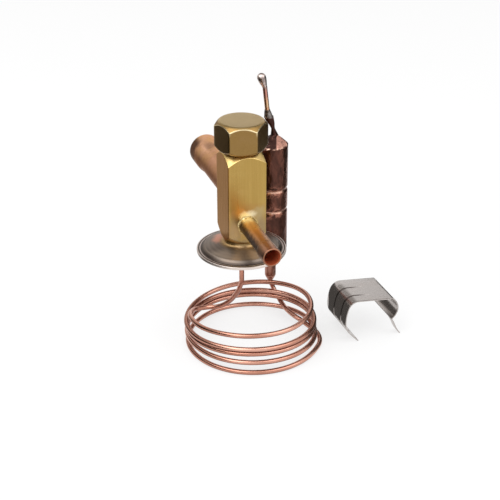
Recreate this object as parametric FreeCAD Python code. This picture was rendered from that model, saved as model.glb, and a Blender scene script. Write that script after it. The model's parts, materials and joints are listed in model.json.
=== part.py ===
import FreeCAD
import Part
import math
import os

Vector = FreeCAD.Vector

# All lengths are in millimetres and all angles in degrees.
# The valve axis is the Z axis, and z = 0 is the surface that the coiled capillary lies on.

# Square brass bar of the body
bar_across_flats = 20.0
bar_length = 47.5
bar_turn = 18.5
bar_bottom_height = 63.5
bottom_cone_length = 5.0
bottom_cone_end_radius = 9.1
top_cone_length = 4.4
top_cone_end_radius = 9.4
shoulder_radius = 9.2
shoulder_length = 0.8
spigot_radius = 8.5
spigot_length = 3.3

# Threaded neck on top of the body
neck_radius = 8.75
neck_length = 9.5
gland_bore_radius = 6.9
gland_bore_depth = 11.5

# Bores in the body
main_bore_radius = 6.2
inlet_chamber_radius = 4.6
inlet_chamber_floor_above_spigot = 9.8
rod_guide_clearance = 0.02
equalizer_radius = 0.8
equalizer_offset = 6.6
equalizer_top_above_seat = 2.2

# Seat insert and its port
seat_radius = 5.6
seat_height = 3.3
port_radius = 2.5
seat_entry_chamfer = 1.2
seat_below_outlet_port = 0.2

# Inlet: small copper tube with a belled solder end
inlet_height_above_bar_bottom = 10.8
inlet_reach = 47.4
inlet_tube_outer_radius = 4.4
inlet_tube_wall = 0.75
inlet_bell_bore_radius = 4.0
inlet_bell_wall = 0.75
inlet_bell_depth = 8.9
inlet_socket_depth = 3.0
bell_step_length = 1.0

# Outlet: large copper tube with a belled solder end and a rolled bead
outlet_height_above_bar_bottom = 23.5
outlet_reach = 64.0
outlet_tube_outer_radius = 7.95
outlet_tube_wall = 0.9
outlet_bell_bore_radius = 8.0
outlet_bell_wall = 0.85
outlet_bell_depth = 13.0
outlet_socket_depth = 2.0
outlet_port_radius = 5.0
outlet_bead_offset = 4.5
outlet_bead_height = 0.7
outlet_bead_length = 2.4

# Braze fillets at the roots of the tubes
braze_width = 0.9

# Inlet strainer
strainer_radius = 2.7
strainer_sheet = 0.3
strainer_length = 12.0
strainer_flange_offset = 24.0
strainer_slot_width = 0.8
strainer_slot_count = 6
strainer_slot_margin = 2.0

# Sensing head: two pressed stainless pans welded at the rim round the diaphragm
rim_radius = 23.2
case_sheet = 0.7
diaphragm_sheet = 0.1
rim_below_bar_bottom = 6.2
pan_foot_radius = 20.8
crown_edge_radius = 19.3
crown_edge_rise = 1.8
crown_inner_radius = 10.0
crown_rise = 4.2
case_collar_wall = 0.6
case_bend_share = 0.3
diaphragm_dish_depth = 0.9
diaphragm_flat_radius = 13.0
diaphragm_clamped_radius = 21.6

# Moving pin group
pin_stroke = 0.7
stop_gap = 0.1
thrust_plate_radius = 12.4
thrust_plate_thickness = 1.0
thrust_hub_radius = 4.2
thrust_socket_depth = 1.6
rod_thin_radius = 1.3
rod_taper_length = 2.0
pin_tip_radius = 1.0
pin_head_radius = 4.0
pin_rim_length = 0.9
pin_shank_radius = 1.5
pin_closed_gap = 0.03
carrier_clearance = 0.3
carrier_flange_thickness = 1.7
carrier_hub_radius = 3.4
carrier_hub_length = 2.3

# Superheat spring
spring_wire_radius = 0.65
spring_mean_radius = 4.6
spring_turns = 5.5
spring_length = 12.4
spring_end_grinding = 0.5
spring_steps_per_turn = 8

# Threaded spring seat, driven by the hexagonal tongue of the adjusting stem
spring_seat_clearance = 0.12
spring_seat_height = 3.5
drive_across_flats = 5.0
drive_clearance = 0.1
seat_travel_down = 3.0
seat_travel_up = 2.0
tongue_run_out = 1.0

# Adjusting stem, its ring seal and the gland
stem_radius = 3.0
stem_collar_radius = 5.0
stem_collar_height = 1.9
stem_collar_play = 0.1
stem_tip_radius = 2.6
stem_slot_width = 1.0
stem_slot_depth = 1.4
stem_top_above_neck = 3.4
ring_groove_depth = 1.05
ring_groove_length = 1.5
ring_groove_above_gland_foot = 3.0
ring_squeeze_room = 0.02
gland_clearance = 0.05
gland_washer_thickness = 1.0
gland_recess_below_neck = 0.5
gland_slot_width = 2.0
gland_slot_depth = 1.5
stem_running_clearance = 0.05

# Hexagonal seal cap
cap_across_flats = 23.7
cap_turn = 5.5
cap_height = 14.7
cap_above_bar = 1.4
cap_top_radius = 11.2
cap_top_chamfer = 2.65
cap_bottom_radius = 11.5
cap_bottom_chamfer = 1.95
cap_thread_clearance = 0.1
cap_washer_thickness = 0.9
cap_recess_radius = 4.4
cap_crown_thickness = 2.2

# Copper capillary and its coil, lying on the surface
capillary_radius = 1.3
coil_centre_x = 5.5
coil_centre_y = 3.0
coil_steps_per_turn = 12
# Rise of each turn above the lowest one, where it passes the right, front, left and back
coil_rises = (
    (0.5, 0.0, 0.0, 0.5),
    (3.9, 6.0, 6.0, 6.8),
    (9.2, 11.0, 8.9, 9.8),
    (12.1, 13.7, 11.7, 15.4),
    (20.6, 21.2, 15.6),
)
# Radius of each turn at the same four passes
coil_radii = (
    (36.2, 35.4, 34.6, 35.0),
    (33.9, 35.4, 35.0, 34.8),
    (33.2, 35.2, 34.6, 34.6),
    (33.2, 35.4, 35.2, 33.6),
    (31.4, 34.4, 32.6),
)
# Route from the neck of the bulb out to the first turn, and from the last turn up to the head
bulb_lead = (
    (1.6, -0.1, 11.0),
    (5.8, -7.2, 5.85),
    (11.8, -20.0, 4.8),
    (18.4, -25.4, 2.6),
)
head_lead = (
    (-27.1, 3.0, 16.9),
    (-24.6, 9.2, 15.1),
    (-19.1, 11.2, 14.9),
    (-12.5, 9.8, 16.4),
    (-7.2, 6.6, 21.0),
    (-3.4, 3.2, 27.2),
    (-0.9, 0.9, 33.4),
)
head_straight_bottom = 38.5

# Ferrule that carries the capillary in the head
ferrule_flange_radius = 3.6
ferrule_flange_thickness = 0.8
ferrule_sleeve_radius = 2.1
ferrule_sleeve_length = 3.6
capillary_in_head = 0.5

# Sensing bulb, standing behind the valve at the right
bulb_x = 15.8
bulb_y = 41.5
bulb_radius = 8.95
bulb_wall = 1.0
bulb_bottom_height = 35.2
bulb_top_height = 98.0
bulb_foot_length = 7.6
bulb_foot_bulge_radius = 7.2
bulb_foot_bulge_rise = 2.8
bulb_foot_neck_radius = 3.1
bulb_foot_neck_length = 8.6
bulb_foot_taper_length = 3.0
bulb_foot_lip = 0.3
groove_heights = (61.0, 73.1)
groove_depth = 0.6
groove_half_length = 1.1

# Crimped top of the bulb: a shoulder with flats from the crimping jaws and a solid pinched neck
crimp_length = 4.7
crimp_radius = 2.45
crimp_offset = 1.55
crimp_facet_count = 4
crimp_facet_turn = -35.0
crimp_facet_slope = 40.0
crimp_facet_distance = 8.1
crimp_neck_root = 0.8
crimp_neck_radius = 1.0
crimp_neck_swell_radius = 1.35
crimp_neck_swell_rise = 3.3
crimp_neck_straight_rise = 6.6
crimp_neck_offset = 0.15
crimp_neck_length = 11.2

# Charging tube with its flattened end and fused drop
charging_radius = 1.25
charging_wall = 0.45
charging_offset = -2.0
charging_gap = 0.2
charging_length = 15.5
charging_lean = 6.3
drop_length = 8.0
drop_radius = 2.35
drop_flank_radius = 1.98
drop_flank_rise = 3.0
drop_lean = 14.4
drop_root_swell = 0.06
fishtail_width = 5.4
fishtail_thickness = 3.0
fishtail_height = 4.6
fishtail_skirt = 1.0
fishtail_offset = -1.6
fishtail_overlap = 1.2
fishtail_lip = 0.25

# Stainless strap clip for the bulb, lying beside the valve
clip_near_x = 80.9
clip_near_y = 7.0
clip_turn = 19.7
clip_width = 25.0
clip_sheet = 0.6
clip_top_height = 22.6
clip_top_rise = 1.6
clip_top_length = 16.5
clip_curl_radius = 6.5
clip_foot_offset = 19.0
clip_foot_heading = 135
clip_belly_offset = 26.6
clip_belly_height = 12.4
clip_tongue_width = 8.0
clip_tongue_reach = 6.0
clip_tongue_heading = -150
clip_tongue_bend_heading = -75
clip_slot_count = 4
clip_slot_width = 2.2
clip_slot_top = 17.5
clip_slot_bottom = 3.0

# Heights that follow from the sizes above
bar_top_height = bar_bottom_height + bar_length
neck_top_height = bar_top_height + neck_length
spigot_bottom_height = bar_bottom_height - spigot_length
inlet_height = bar_bottom_height + inlet_height_above_bar_bottom
outlet_height = bar_bottom_height + outlet_height_above_bar_bottom
rim_top_height = bar_bottom_height - rim_below_bar_bottom
diaphragm_top_height = rim_top_height - case_sheet
diaphragm_middle_height = diaphragm_top_height - diaphragm_sheet / 2
seat_top_height = outlet_height - outlet_port_radius - seat_below_outlet_port
seat_bottom_height = seat_top_height - seat_height
inlet_chamber_floor = spigot_bottom_height + inlet_chamber_floor_above_spigot
gland_foot_height = neck_top_height - gland_bore_depth
thrust_plate_bottom = diaphragm_top_height - diaphragm_dish_depth
thrust_hub_top = spigot_bottom_height - pin_stroke - stop_gap
rod_bottom_height = thrust_plate_bottom + thrust_socket_depth
pin_tip_height = seat_top_height + pin_closed_gap - (port_radius - pin_tip_radius)
pin_head_height = pin_tip_height + pin_head_radius - pin_tip_radius
carrier_bottom_height = pin_head_height + pin_rim_length
spring_bottom_height = carrier_bottom_height + carrier_flange_thickness
spring_top_height = spring_bottom_height + spring_length
stem_collar_top = gland_foot_height - stem_collar_play
stem_collar_bottom = stem_collar_top - stem_collar_height
tongue_bottom_height = spring_top_height - seat_travel_down - tongue_run_out
gland_bottom_height = gland_foot_height + gland_washer_thickness
gland_top_height = neck_top_height - gland_recess_below_neck
stem_top_height = neck_top_height + stem_top_above_neck
cap_bottom_height = bar_top_height + cap_above_bar
cap_top_height = cap_bottom_height + cap_height
coil_floor = capillary_radius
half_bar = bar_across_flats / 2


def direction(angle):
    # Level unit vector at this angle, counted from +X
    return Vector(math.cos(math.radians(angle)), math.sin(math.radians(angle)), 0)


inlet_direction = direction(bar_turn - 90)
outlet_direction = direction(bar_turn + 90)
side_direction = direction(bar_turn)


def turned(outline):
    # Solid of revolution about Z; a corner is (r, z), and an arc is (r_mid, z_mid, r_end, z_end)
    corners = [Vector(item[-2], 0, item[-1]) for item in outline]
    edges = []
    for number, item in enumerate(outline):
        start = corners[number - 1]
        if len(item) == 4:
            edges.append(Part.Arc(start, Vector(item[0], 0, item[1]), corners[number]).toShape())
        else:
            edges.append(Part.LineSegment(start, corners[number]).toShape())
    profile = Part.Face(Part.Wire(edges))
    return profile.revolve(Vector(0, 0, 0), Vector(0, 0, 1), 360)


def cylinder(radius, bottom, top):
    return Part.makeCylinder(radius, top - bottom, Vector(0, 0, bottom))


def ring(inner, outer, bottom, top):
    return cylinder(outer, bottom, top).cut(cylinder(inner, bottom, top))


def prism(sides, across_flats, turn, bottom, top):
    # Regular bar with one flat facing the given turn from -Y
    corner_radius = across_flats / 2 / math.cos(math.pi / sides)
    first = turn - 90 + 180 / sides
    corners = []
    for number in range(sides + 1):
        corners.append(direction(first + 360 * number / sides) * corner_radius + Vector(0, 0, bottom))
    return Part.Face(Part.makePolygon(corners)).extrude(Vector(0, 0, top - bottom))


def pointed_along(shape, heading, height):
    # Lays a shape that was made along Z down to a level heading at this height
    laid = shape.copy()
    laid.Placement = FreeCAD.Placement(Vector(0, 0, height), FreeCAD.Rotation(Vector(0, 0, 1), heading))
    return laid


def offset_outline(outline, distance):
    # Open line of (r, z) corners moved sideways by a sheet thickness, with mitred corners
    moved = []
    for number, (r, z) in enumerate(outline):
        normals = []
        for first, second in ((number - 1, number), (number, number + 1)):
            if first >= 0 and second < len(outline):
                run = outline[second][0] - outline[first][0]
                rise = outline[second][1] - outline[first][1]
                length = math.hypot(run, rise)
                normals.append((-rise / length, run / length))
        sum_r = sum(normal[0] for normal in normals)
        sum_z = sum(normal[1] for normal in normals)
        scale = 2 * distance / (sum_r ** 2 + sum_z ** 2) if len(normals) == 2 else distance
        moved.append((r + sum_r * scale, z + sum_z * scale))
    return moved


def make_valve_body():
    corner_radius = half_bar * math.sqrt(2)
    envelope = turned([
        (0, bar_bottom_height),
        (bottom_cone_end_radius, bar_bottom_height),
        (corner_radius, bar_bottom_height + bottom_cone_length),
        (corner_radius, bar_top_height - top_cone_length),
        (top_cone_end_radius, bar_top_height),
        (0, bar_top_height),
    ])
    bar = prism(4, bar_across_flats, bar_turn, bar_bottom_height, bar_top_height).common(envelope)
    shoulder_bottom = bar_bottom_height - shoulder_length
    body = bar.fuse([
        cylinder(min(shoulder_radius, bottom_cone_end_radius), shoulder_bottom, bar_bottom_height),
        cylinder(spigot_radius, spigot_bottom_height, bar_bottom_height),
        cylinder(neck_radius, bar_top_height, neck_top_height),
    ])
    bores = [
        cylinder(port_radius + rod_guide_clearance, spigot_bottom_height, inlet_chamber_floor),
        cylinder(inlet_chamber_radius, inlet_chamber_floor, seat_bottom_height),
        cylinder(seat_radius, seat_bottom_height, seat_top_height),
        cylinder(main_bore_radius, seat_top_height, gland_foot_height),
        cylinder(gland_bore_radius, gland_foot_height, neck_top_height),
    ]
    bores += side_port(inlet_tube_outer_radius - inlet_tube_wall, inlet_tube_outer_radius,
                       inlet_socket_depth, inlet_direction, inlet_height)
    bores += side_port(outlet_port_radius, outlet_tube_outer_radius,
                       outlet_socket_depth, outlet_direction, outlet_height)
    equalizer = cylinder(equalizer_radius, spigot_bottom_height, seat_top_height + equalizer_top_above_seat)
    equalizer.translate(side_direction * equalizer_offset)
    return body.cut(bores + [equalizer]).removeSplitter()


def side_port(port, socket, socket_depth, heading, height):
    # Port bored from one flat to the valve axis, and the socket that its tube stands in
    port_bore = cylinder(port, 0, half_bar)
    tube_socket = cylinder(socket, half_bar - socket_depth, half_bar)
    return [pointed_along(port_bore, heading, height), pointed_along(tube_socket, heading, height)]


def make_seat_insert():
    blank = ring(port_radius, seat_radius, seat_bottom_height, seat_top_height)
    entry = Part.makeCone(
        port_radius + seat_entry_chamfer, port_radius, seat_entry_chamfer, Vector(0, 0, seat_bottom_height))
    return blank.cut(entry)


def bent_end_tube(outer, wall, bell_bore, bell_wall, bell_depth, root, reach, bead=None):
    # Tube along +Z from its root to its mouth, with a belled end and perhaps a rolled bead
    bore = outer - wall
    bell_outer = bell_bore + bell_wall
    bell_start = reach - bell_depth
    outside = [(bore, root), (outer, root)]
    if bead:
        middle, half, height = bead
        outside += [(outer, middle - half), (outer + height, middle, outer, middle + half)]
    outside += [(outer, bell_start - bell_step_length), (bell_outer, bell_start), (bell_outer, reach)]
    inside = [(bell_bore, reach), (bell_bore, bell_start), (bore, bell_start - bell_step_length)]
    return turned(outside + inside)


def make_inlet_tube():
    tube = bent_end_tube(
        inlet_tube_outer_radius, inlet_tube_wall, inlet_bell_bore_radius, inlet_bell_wall,
        inlet_bell_depth, half_bar - inlet_socket_depth, inlet_reach)
    return pointed_along(tube, inlet_direction, inlet_height)


def make_outlet_tube():
    bead = (half_bar + outlet_bead_offset, outlet_bead_length / 2, outlet_bead_height)
    tube = bent_end_tube(
        outlet_tube_outer_radius, outlet_tube_wall, outlet_bell_bore_radius, outlet_bell_wall,
        outlet_bell_depth, half_bar - outlet_socket_depth, outlet_reach, bead)
    return pointed_along(tube, outlet_direction, outlet_height)


def make_braze(tube_radius, heading, height):
    # Hollow fillet of filler metal between the flat of the bar and the tube
    hollow = braze_width * (1 - math.sqrt(0.5))
    fillet = turned([
        (tube_radius, half_bar),
        (tube_radius + braze_width, half_bar),
        (tube_radius + hollow, half_bar + hollow, tube_radius, half_bar + braze_width),
    ])
    return pointed_along(fillet, heading, height)


def make_inlet_strainer():
    flange = strainer_flange_offset
    tip = flange - strainer_length
    tube_bore = inlet_tube_outer_radius - inlet_tube_wall
    cup = turned([
        (0, tip),
        (strainer_radius, tip),
        (strainer_radius, flange - strainer_sheet),
        (tube_bore, flange - strainer_sheet),
        (tube_bore, flange),
        (strainer_radius - strainer_sheet, flange),
        (strainer_radius - strainer_sheet, tip + strainer_sheet),
        (0, tip + strainer_sheet),
    ])
    slots = []
    for number in range(strainer_slot_count // 2):
        slot = Part.makeBox(
            2 * tube_bore, strainer_slot_width, strainer_length - 2 * strainer_slot_margin,
            Vector(-tube_bore, -strainer_slot_width / 2, tip + strainer_slot_margin))
        slot.rotate(Vector(0, 0, 0), Vector(0, 0, 1), 360 * number / strainer_slot_count)
        slots.append(slot)
    return pointed_along(cup.cut(slots), inlet_direction, inlet_height)


def case_outline(side):
    # Outer skin of one pan from the rim inwards, above (+1) or below (-1) the diaphragm
    lip = case_sheet + diaphragm_sheet / 2
    steps = [
        (rim_radius, lip),
        (pan_foot_radius, lip),
        (crown_edge_radius, lip + crown_edge_rise),
        (crown_inner_radius, lip + crown_rise),
    ]
    return [(r, diaphragm_middle_height + side * rise) for r, rise in steps]


def make_upper_case():
    outer = case_outline(1)
    collar_top = bar_bottom_height - shoulder_length
    collar_radius = spigot_radius + case_collar_wall
    crown_radius, crown_height = outer[-1]
    inner = offset_outline(outer + [(spigot_radius, crown_height)], case_sheet)
    outline = outer[:-1] + [(crown_radius, crown_height)]
    bend_radius = collar_radius + (crown_radius - collar_radius) * case_bend_share
    bend_height = crown_height + (collar_top - crown_height) * case_bend_share
    outline.append((bend_radius, bend_height, collar_radius, collar_top))
    outline.append((spigot_radius, collar_top))
    outline.append((spigot_radius, inner[-1][1]))
    outline += [(r, z) for r, z in reversed(inner[1:-1])]
    outline.append((rim_radius, diaphragm_top_height))
    return turned(outline)


def make_lower_case():
    outer = case_outline(-1)
    outer.append((capillary_radius, outer[-1][1]))
    inner = offset_outline(outer, -case_sheet)
    rim_inner = (rim_radius, diaphragm_top_height - diaphragm_sheet)
    return turned(outer + list(reversed(inner[1:])) + [rim_inner])


def make_diaphragm():
    # Thin sheet, clamped flat at the rim and dished down to the flat that carries the thrust plate
    top = diaphragm_top_height
    skin = [
        (diaphragm_clamped_radius + 1, top),
        (pan_foot_radius - 1, top),
        (diaphragm_flat_radius, top - diaphragm_dish_depth),
        (0, top - diaphragm_dish_depth),
    ]
    under = [(r, z - diaphragm_sheet) for r, z in skin]
    return turned(skin + list(reversed(under)))


def make_thrust_plate():
    bottom = thrust_plate_bottom
    plate_top = bottom + thrust_plate_thickness
    return turned([
        (0, bottom),
        (thrust_plate_radius, bottom),
        (thrust_plate_radius, plate_top),
        (thrust_hub_radius, plate_top),
        (thrust_hub_radius, thrust_hub_top),
        (port_radius, thrust_hub_top),
        (port_radius, rod_bottom_height),
        (0, rod_bottom_height),
    ])


def make_push_rod():
    # Guided thick end, equal to the port, then a thin end that leaves the port open to flow
    taper_start = inlet_chamber_floor
    return turned([
        (0, rod_bottom_height),
        (port_radius, rod_bottom_height),
        (port_radius, taper_start),
        (rod_thin_radius, taper_start + rod_taper_length),
        (rod_thin_radius, pin_tip_height),
        (0, pin_tip_height),
    ])


def make_valve_pin():
    hub_top = spring_bottom_height + carrier_hub_length
    return turned([
        (0, pin_tip_height),
        (pin_tip_radius, pin_tip_height),
        (pin_head_radius, pin_head_height),
        (pin_head_radius, carrier_bottom_height),
        (pin_shank_radius, carrier_bottom_height),
        (pin_shank_radius, hub_top),
        (0, hub_top),
    ])


def make_pin_carrier():
    flange_radius = main_bore_radius - carrier_clearance
    hub_top = spring_bottom_height + carrier_hub_length
    return turned([
        (pin_shank_radius, carrier_bottom_height),
        (flange_radius, carrier_bottom_height),
        (flange_radius, spring_bottom_height),
        (carrier_hub_radius, spring_bottom_height),
        (carrier_hub_radius, hub_top),
        (pin_shank_radius, hub_top),
    ])


def make_superheat_spring():
    # Closed end coils lie on their neighbours, and both ends are ground flat
    wire_diameter = 2 * spring_wire_radius
    end_height = spring_wire_radius * spring_end_grinding
    closed_top = end_height + wire_diameter
    open_turns = spring_turns - 2
    stations = ((0, end_height), (1, closed_top), (1 + open_turns, spring_length - closed_top),
                (spring_turns, spring_length - end_height))
    points = []
    for step in range(round(spring_turns * spring_steps_per_turn) + 1):
        turn = step / spring_steps_per_turn
        for (low_turn, low), (high_turn, high) in zip(stations, stations[1:]):
            if low_turn <= turn <= high_turn:
                height = low + (high - low) * (turn - low_turn) / (high_turn - low_turn)
        spot = direction(360 * turn) * spring_mean_radius
        points.append(spot + Vector(0, 0, spring_bottom_height + height))
    headings = [None] * len(points)
    headings[0] = direction(90)
    headings[-1] = direction(360 * spring_turns + 90)
    section = Part.Face(Part.Wire(Part.makeCircle(spring_wire_radius, points[0], headings[0])))
    wire = Part.Wire(smooth_path(points, headings)).makePipe(section)
    return wire.common(cylinder(main_bore_radius, spring_bottom_height, spring_top_height))


def make_spring_seat():
    top = spring_top_height + spring_seat_height
    blank = cylinder(main_bore_radius - spring_seat_clearance, spring_top_height, top)
    return blank.cut(prism(6, drive_across_flats + 2 * drive_clearance, bar_turn, spring_top_height, top))


def make_adjusting_stem():
    groove_bottom = gland_bottom_height + ring_groove_above_gland_foot
    groove_top = groove_bottom + ring_groove_length
    groove_radius = stem_radius - ring_groove_depth
    shaft = turned([
        (0, stem_collar_bottom),
        (stem_collar_radius, stem_collar_bottom),
        (stem_collar_radius, stem_collar_top),
        (stem_radius, stem_collar_top),
        (stem_radius, groove_bottom),
        (groove_radius, groove_bottom),
        (groove_radius, groove_top),
        (stem_radius, groove_top),
        (stem_radius, gland_top_height),
        (stem_tip_radius, gland_top_height),
        (stem_tip_radius, stem_top_height),
        (0, stem_top_height),
    ])
    tongue = prism(6, drive_across_flats, bar_turn, tongue_bottom_height, stem_collar_bottom)
    slot = Part.makeBox(
        2 * stem_radius, stem_slot_width, stem_slot_depth,
        Vector(-stem_radius, -stem_slot_width / 2, stem_top_height - stem_slot_depth))
    return shaft.fuse(tongue).cut(slot)


def make_stem_ring():
    outer = stem_radius + stem_running_clearance - ring_squeeze_room
    inner = stem_radius - ring_groove_depth
    section_radius = (outer - inner) / 2
    middle = gland_bottom_height + ring_groove_above_gland_foot + ring_groove_length / 2
    return Part.makeTorus(inner + section_radius, section_radius, Vector(0, 0, middle))


def make_gland_washer():
    return ring(stem_radius + stem_running_clearance, gland_bore_radius - gland_clearance,
                gland_foot_height, gland_bottom_height)


def make_gland_nut():
    outer = gland_bore_radius - gland_clearance
    nut = ring(stem_radius + stem_running_clearance, outer, gland_bottom_height, gland_top_height)
    slot = Part.makeBox(
        2 * outer, gland_slot_width, gland_slot_depth,
        Vector(-outer, -gland_slot_width / 2, gland_top_height - gland_slot_depth))
    return nut.cut(slot)


def make_cap_washer():
    return ring(cap_recess_radius, neck_radius, neck_top_height, neck_top_height + cap_washer_thickness)


def make_seal_cap():
    corner_radius = cap_across_flats / 2 / math.cos(math.pi / 6)
    envelope = turned([
        (0, cap_bottom_height),
        (cap_bottom_radius, cap_bottom_height),
        (corner_radius, cap_bottom_height + cap_bottom_chamfer),
        (corner_radius, cap_top_height - cap_top_chamfer),
        (cap_top_radius, cap_top_height),
        (0, cap_top_height),
    ])
    blank = prism(6, cap_across_flats, cap_turn, cap_bottom_height, cap_top_height).common(envelope)
    washer_top = neck_top_height + cap_washer_thickness
    thread = cylinder(neck_radius + cap_thread_clearance, cap_bottom_height, washer_top)
    recess = cylinder(cap_recess_radius, washer_top, cap_top_height - cap_crown_thickness)
    return blank.cut([thread, recess])


def tangent_edge(start, end, heading, at_end=False):
    # Arc or line from start to end that runs along the heading at its start, or else at its end
    first, last, leaving = (end, start, heading * -1) if at_end else (start, end, heading)
    along = (last - first).normalize()
    sideways = leaving - along * leaving.dot(along)
    if sideways.Length < 1e-6:
        return Part.LineSegment(start, end).toShape()
    half_turn = math.atan2(sideways.Length, leaving.dot(along))
    rise = (end - start).Length / 2 * math.tan(half_turn / 2)
    middle = (start + end) * 0.5 + sideways.normalize() * rise
    return Part.Arc(start, middle, end).toShape()


def smooth_path(points, headings):
    # Two tangent arcs between each point and the next; a heading of None follows from its neighbours
    known = list(headings)
    for number, heading in enumerate(known):
        if heading is None:
            arriving = points[number] - points[number - 1]
            leaving = points[number + 1] - points[number]
            known[number] = arriving * (1 / arriving.Length ** 2) + leaving * (1 / leaving.Length ** 2)
        known[number].normalize()
    edges = []
    for number in range(len(points) - 1):
        start = points[number]
        end = points[number + 1]
        leaving = known[number]
        arriving = known[number + 1]
        chord = end - start
        forward = chord.dot(leaving + arriving)
        spread = 2 * (1 - leaving.dot(arriving))
        if spread < 1e-9:
            reach = chord.dot(chord) / (2 * forward)
        else:
            reach = (math.sqrt(forward ** 2 + spread * chord.dot(chord)) - forward) / spread
        joint = (start + end + (leaving - arriving) * reach) * 0.5
        edges.append(tangent_edge(start, joint, leaving))
        edges.append(tangent_edge(joint, end, arriving, at_end=True))
    return edges


def even_slope(before, after):
    # Slope at a pass that never swings below or above its neighbours
    return 2 * before * after / (before + after) if before * after > 0 else 0


def passed_value(rows, turn):
    # Value at any turn count, eased between the four passes of each row
    flat = [value for row in rows for value in row]
    steps = [after - before for before, after in zip(flat, flat[1:])]
    number = min(int(turn * 4), len(steps) - 1)
    share = turn * 4 - number
    slope_start = even_slope(steps[max(number - 1, 0)], steps[number])
    slope_end = even_slope(steps[number], steps[min(number + 1, len(steps) - 1)])
    return (
        (2 * share ** 3 - 3 * share ** 2 + 1) * flat[number]
        + (share ** 3 - 2 * share ** 2 + share) * slope_start
        + (3 * share ** 2 - 2 * share ** 3) * flat[number + 1]
        + (share ** 3 - share ** 2) * slope_end)


def capillary_points():
    bulb_end = Vector(bulb_x, bulb_y, bulb_foot_height())
    points = [bulb_end]
    points += [bulb_end + Vector(x, y, height - bulb_end.z) for x, y, height in bulb_lead]
    last_turn = len(coil_rises) - 0.5
    steps = round(last_turn * coil_steps_per_turn)
    for step in range(steps):
        turn = step / coil_steps_per_turn
        rise = passed_value(coil_rises, turn)
        radius = passed_value(coil_radii, turn)
        spot = direction(-360 * turn) * radius
        points.append(spot + Vector(coil_centre_x, coil_centre_y, coil_floor + rise))
    points += [Vector(*spot) for spot in head_lead]
    points.append(Vector(0, 0, head_straight_bottom))
    return points


def lower_crown_height():
    return diaphragm_middle_height - case_sheet - diaphragm_sheet / 2 - crown_rise


def bulb_foot_height():
    return bulb_bottom_height - bulb_foot_length - bulb_foot_neck_length - bulb_foot_taper_length


def make_capillary_tube():
    points = capillary_points()
    down = Vector(0, 0, -1)
    up = Vector(0, 0, 1)
    start = points[0] - down * (bulb_foot_taper_length + bulb_foot_neck_length / 2)
    end = Vector(0, 0, lower_crown_height() + case_sheet + capillary_in_head)
    edges = [Part.LineSegment(start, points[0]).toShape()]
    edges += smooth_path(points, [down] + [None] * (len(points) - 2) + [up])
    edges.append(Part.LineSegment(points[-1], end).toShape())
    path = Part.Wire(edges)
    section = Part.Face(Part.Wire(Part.makeCircle(capillary_radius, start, down)))
    return path.makePipe(section)


def make_capillary_ferrule():
    top = lower_crown_height()
    flange_bottom = top - ferrule_flange_thickness
    return turned([
        (capillary_radius, top),
        (ferrule_flange_radius, top),
        (ferrule_flange_radius, flange_bottom),
        (ferrule_sleeve_radius, flange_bottom),
        (ferrule_sleeve_radius, flange_bottom - ferrule_sleeve_length),
        (capillary_radius, flange_bottom - ferrule_sleeve_length),
    ])


def make_bulb_shell():
    # Drawn copper tube with a round foot, two rolled grooves and a crimped top that ends in a leaning neck
    foot_neck_top = bulb_bottom_height - bulb_foot_length
    foot_neck_bottom = foot_neck_top - bulb_foot_neck_length
    inner_radius = bulb_radius - bulb_wall
    outline = [
        (capillary_radius, bulb_foot_height()),
        (capillary_radius + bulb_foot_lip, bulb_foot_height()),
        (bulb_foot_neck_radius, foot_neck_bottom),
        (bulb_foot_neck_radius, foot_neck_top),
        (bulb_foot_bulge_radius, foot_neck_top + bulb_foot_bulge_rise, bulb_radius, bulb_bottom_height),
    ]
    for height in groove_heights:
        outline.append((bulb_radius, height - groove_half_length))
        outline.append((bulb_radius - groove_depth, height, bulb_radius, height + groove_half_length))
    outline += [
        (bulb_radius, bulb_top_height),
        (inner_radius, bulb_top_height),
        (inner_radius, bulb_bottom_height),
        (capillary_radius, foot_neck_top + bulb_wall),
    ]
    shell = turned(outline)
    crimp = crimp_loft(0).cut(crimp_loft(bulb_wall))
    cutters = []
    for number in range(crimp_facet_count):
        block = cylinder(3 * bulb_radius, 0, 2 * bulb_radius)
        block.rotate(Vector(0, 0, 0), Vector(0, 1, 0), crimp_facet_slope)
        block.translate(Vector(crimp_facet_distance, 0, bulb_top_height))
        block.rotate(Vector(0, 0, 0), Vector(0, 0, 1), crimp_facet_turn + 360 * number / crimp_facet_count)
        cutters.append(block)
    shell = shell.fuse(crimp).cut(cutters).fuse(crimp_neck())
    shell.translate(Vector(bulb_x, bulb_y, 0))
    return shell.removeSplitter()


def circle_at(radius, x, height):
    return Part.Wire(Part.makeCircle(radius, Vector(x, 0, height), Vector(0, 0, 1)))


def crimp_loft(wall):
    # Shoulder that closes the bulb, or the hollow under it
    return Part.makeLoft([
        circle_at(bulb_radius - wall, 0, bulb_top_height),
        circle_at(crimp_radius - wall, crimp_offset, bulb_top_height + crimp_length - wall),
    ], True)


def crimp_neck():
    # Solid pinched neck from the shoulder up to the charging tube
    foot = bulb_top_height + crimp_length
    swell_offset = (crimp_offset + crimp_neck_offset) / 2
    return Part.makeLoft([
        circle_at(crimp_radius, crimp_offset, foot - crimp_neck_root),
        circle_at(crimp_neck_swell_radius, swell_offset, foot + crimp_neck_swell_rise),
        circle_at(crimp_neck_radius, crimp_neck_offset, foot + crimp_neck_straight_rise),
        circle_at(crimp_neck_radius, crimp_neck_offset, foot + crimp_neck_length),
    ], True)


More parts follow.
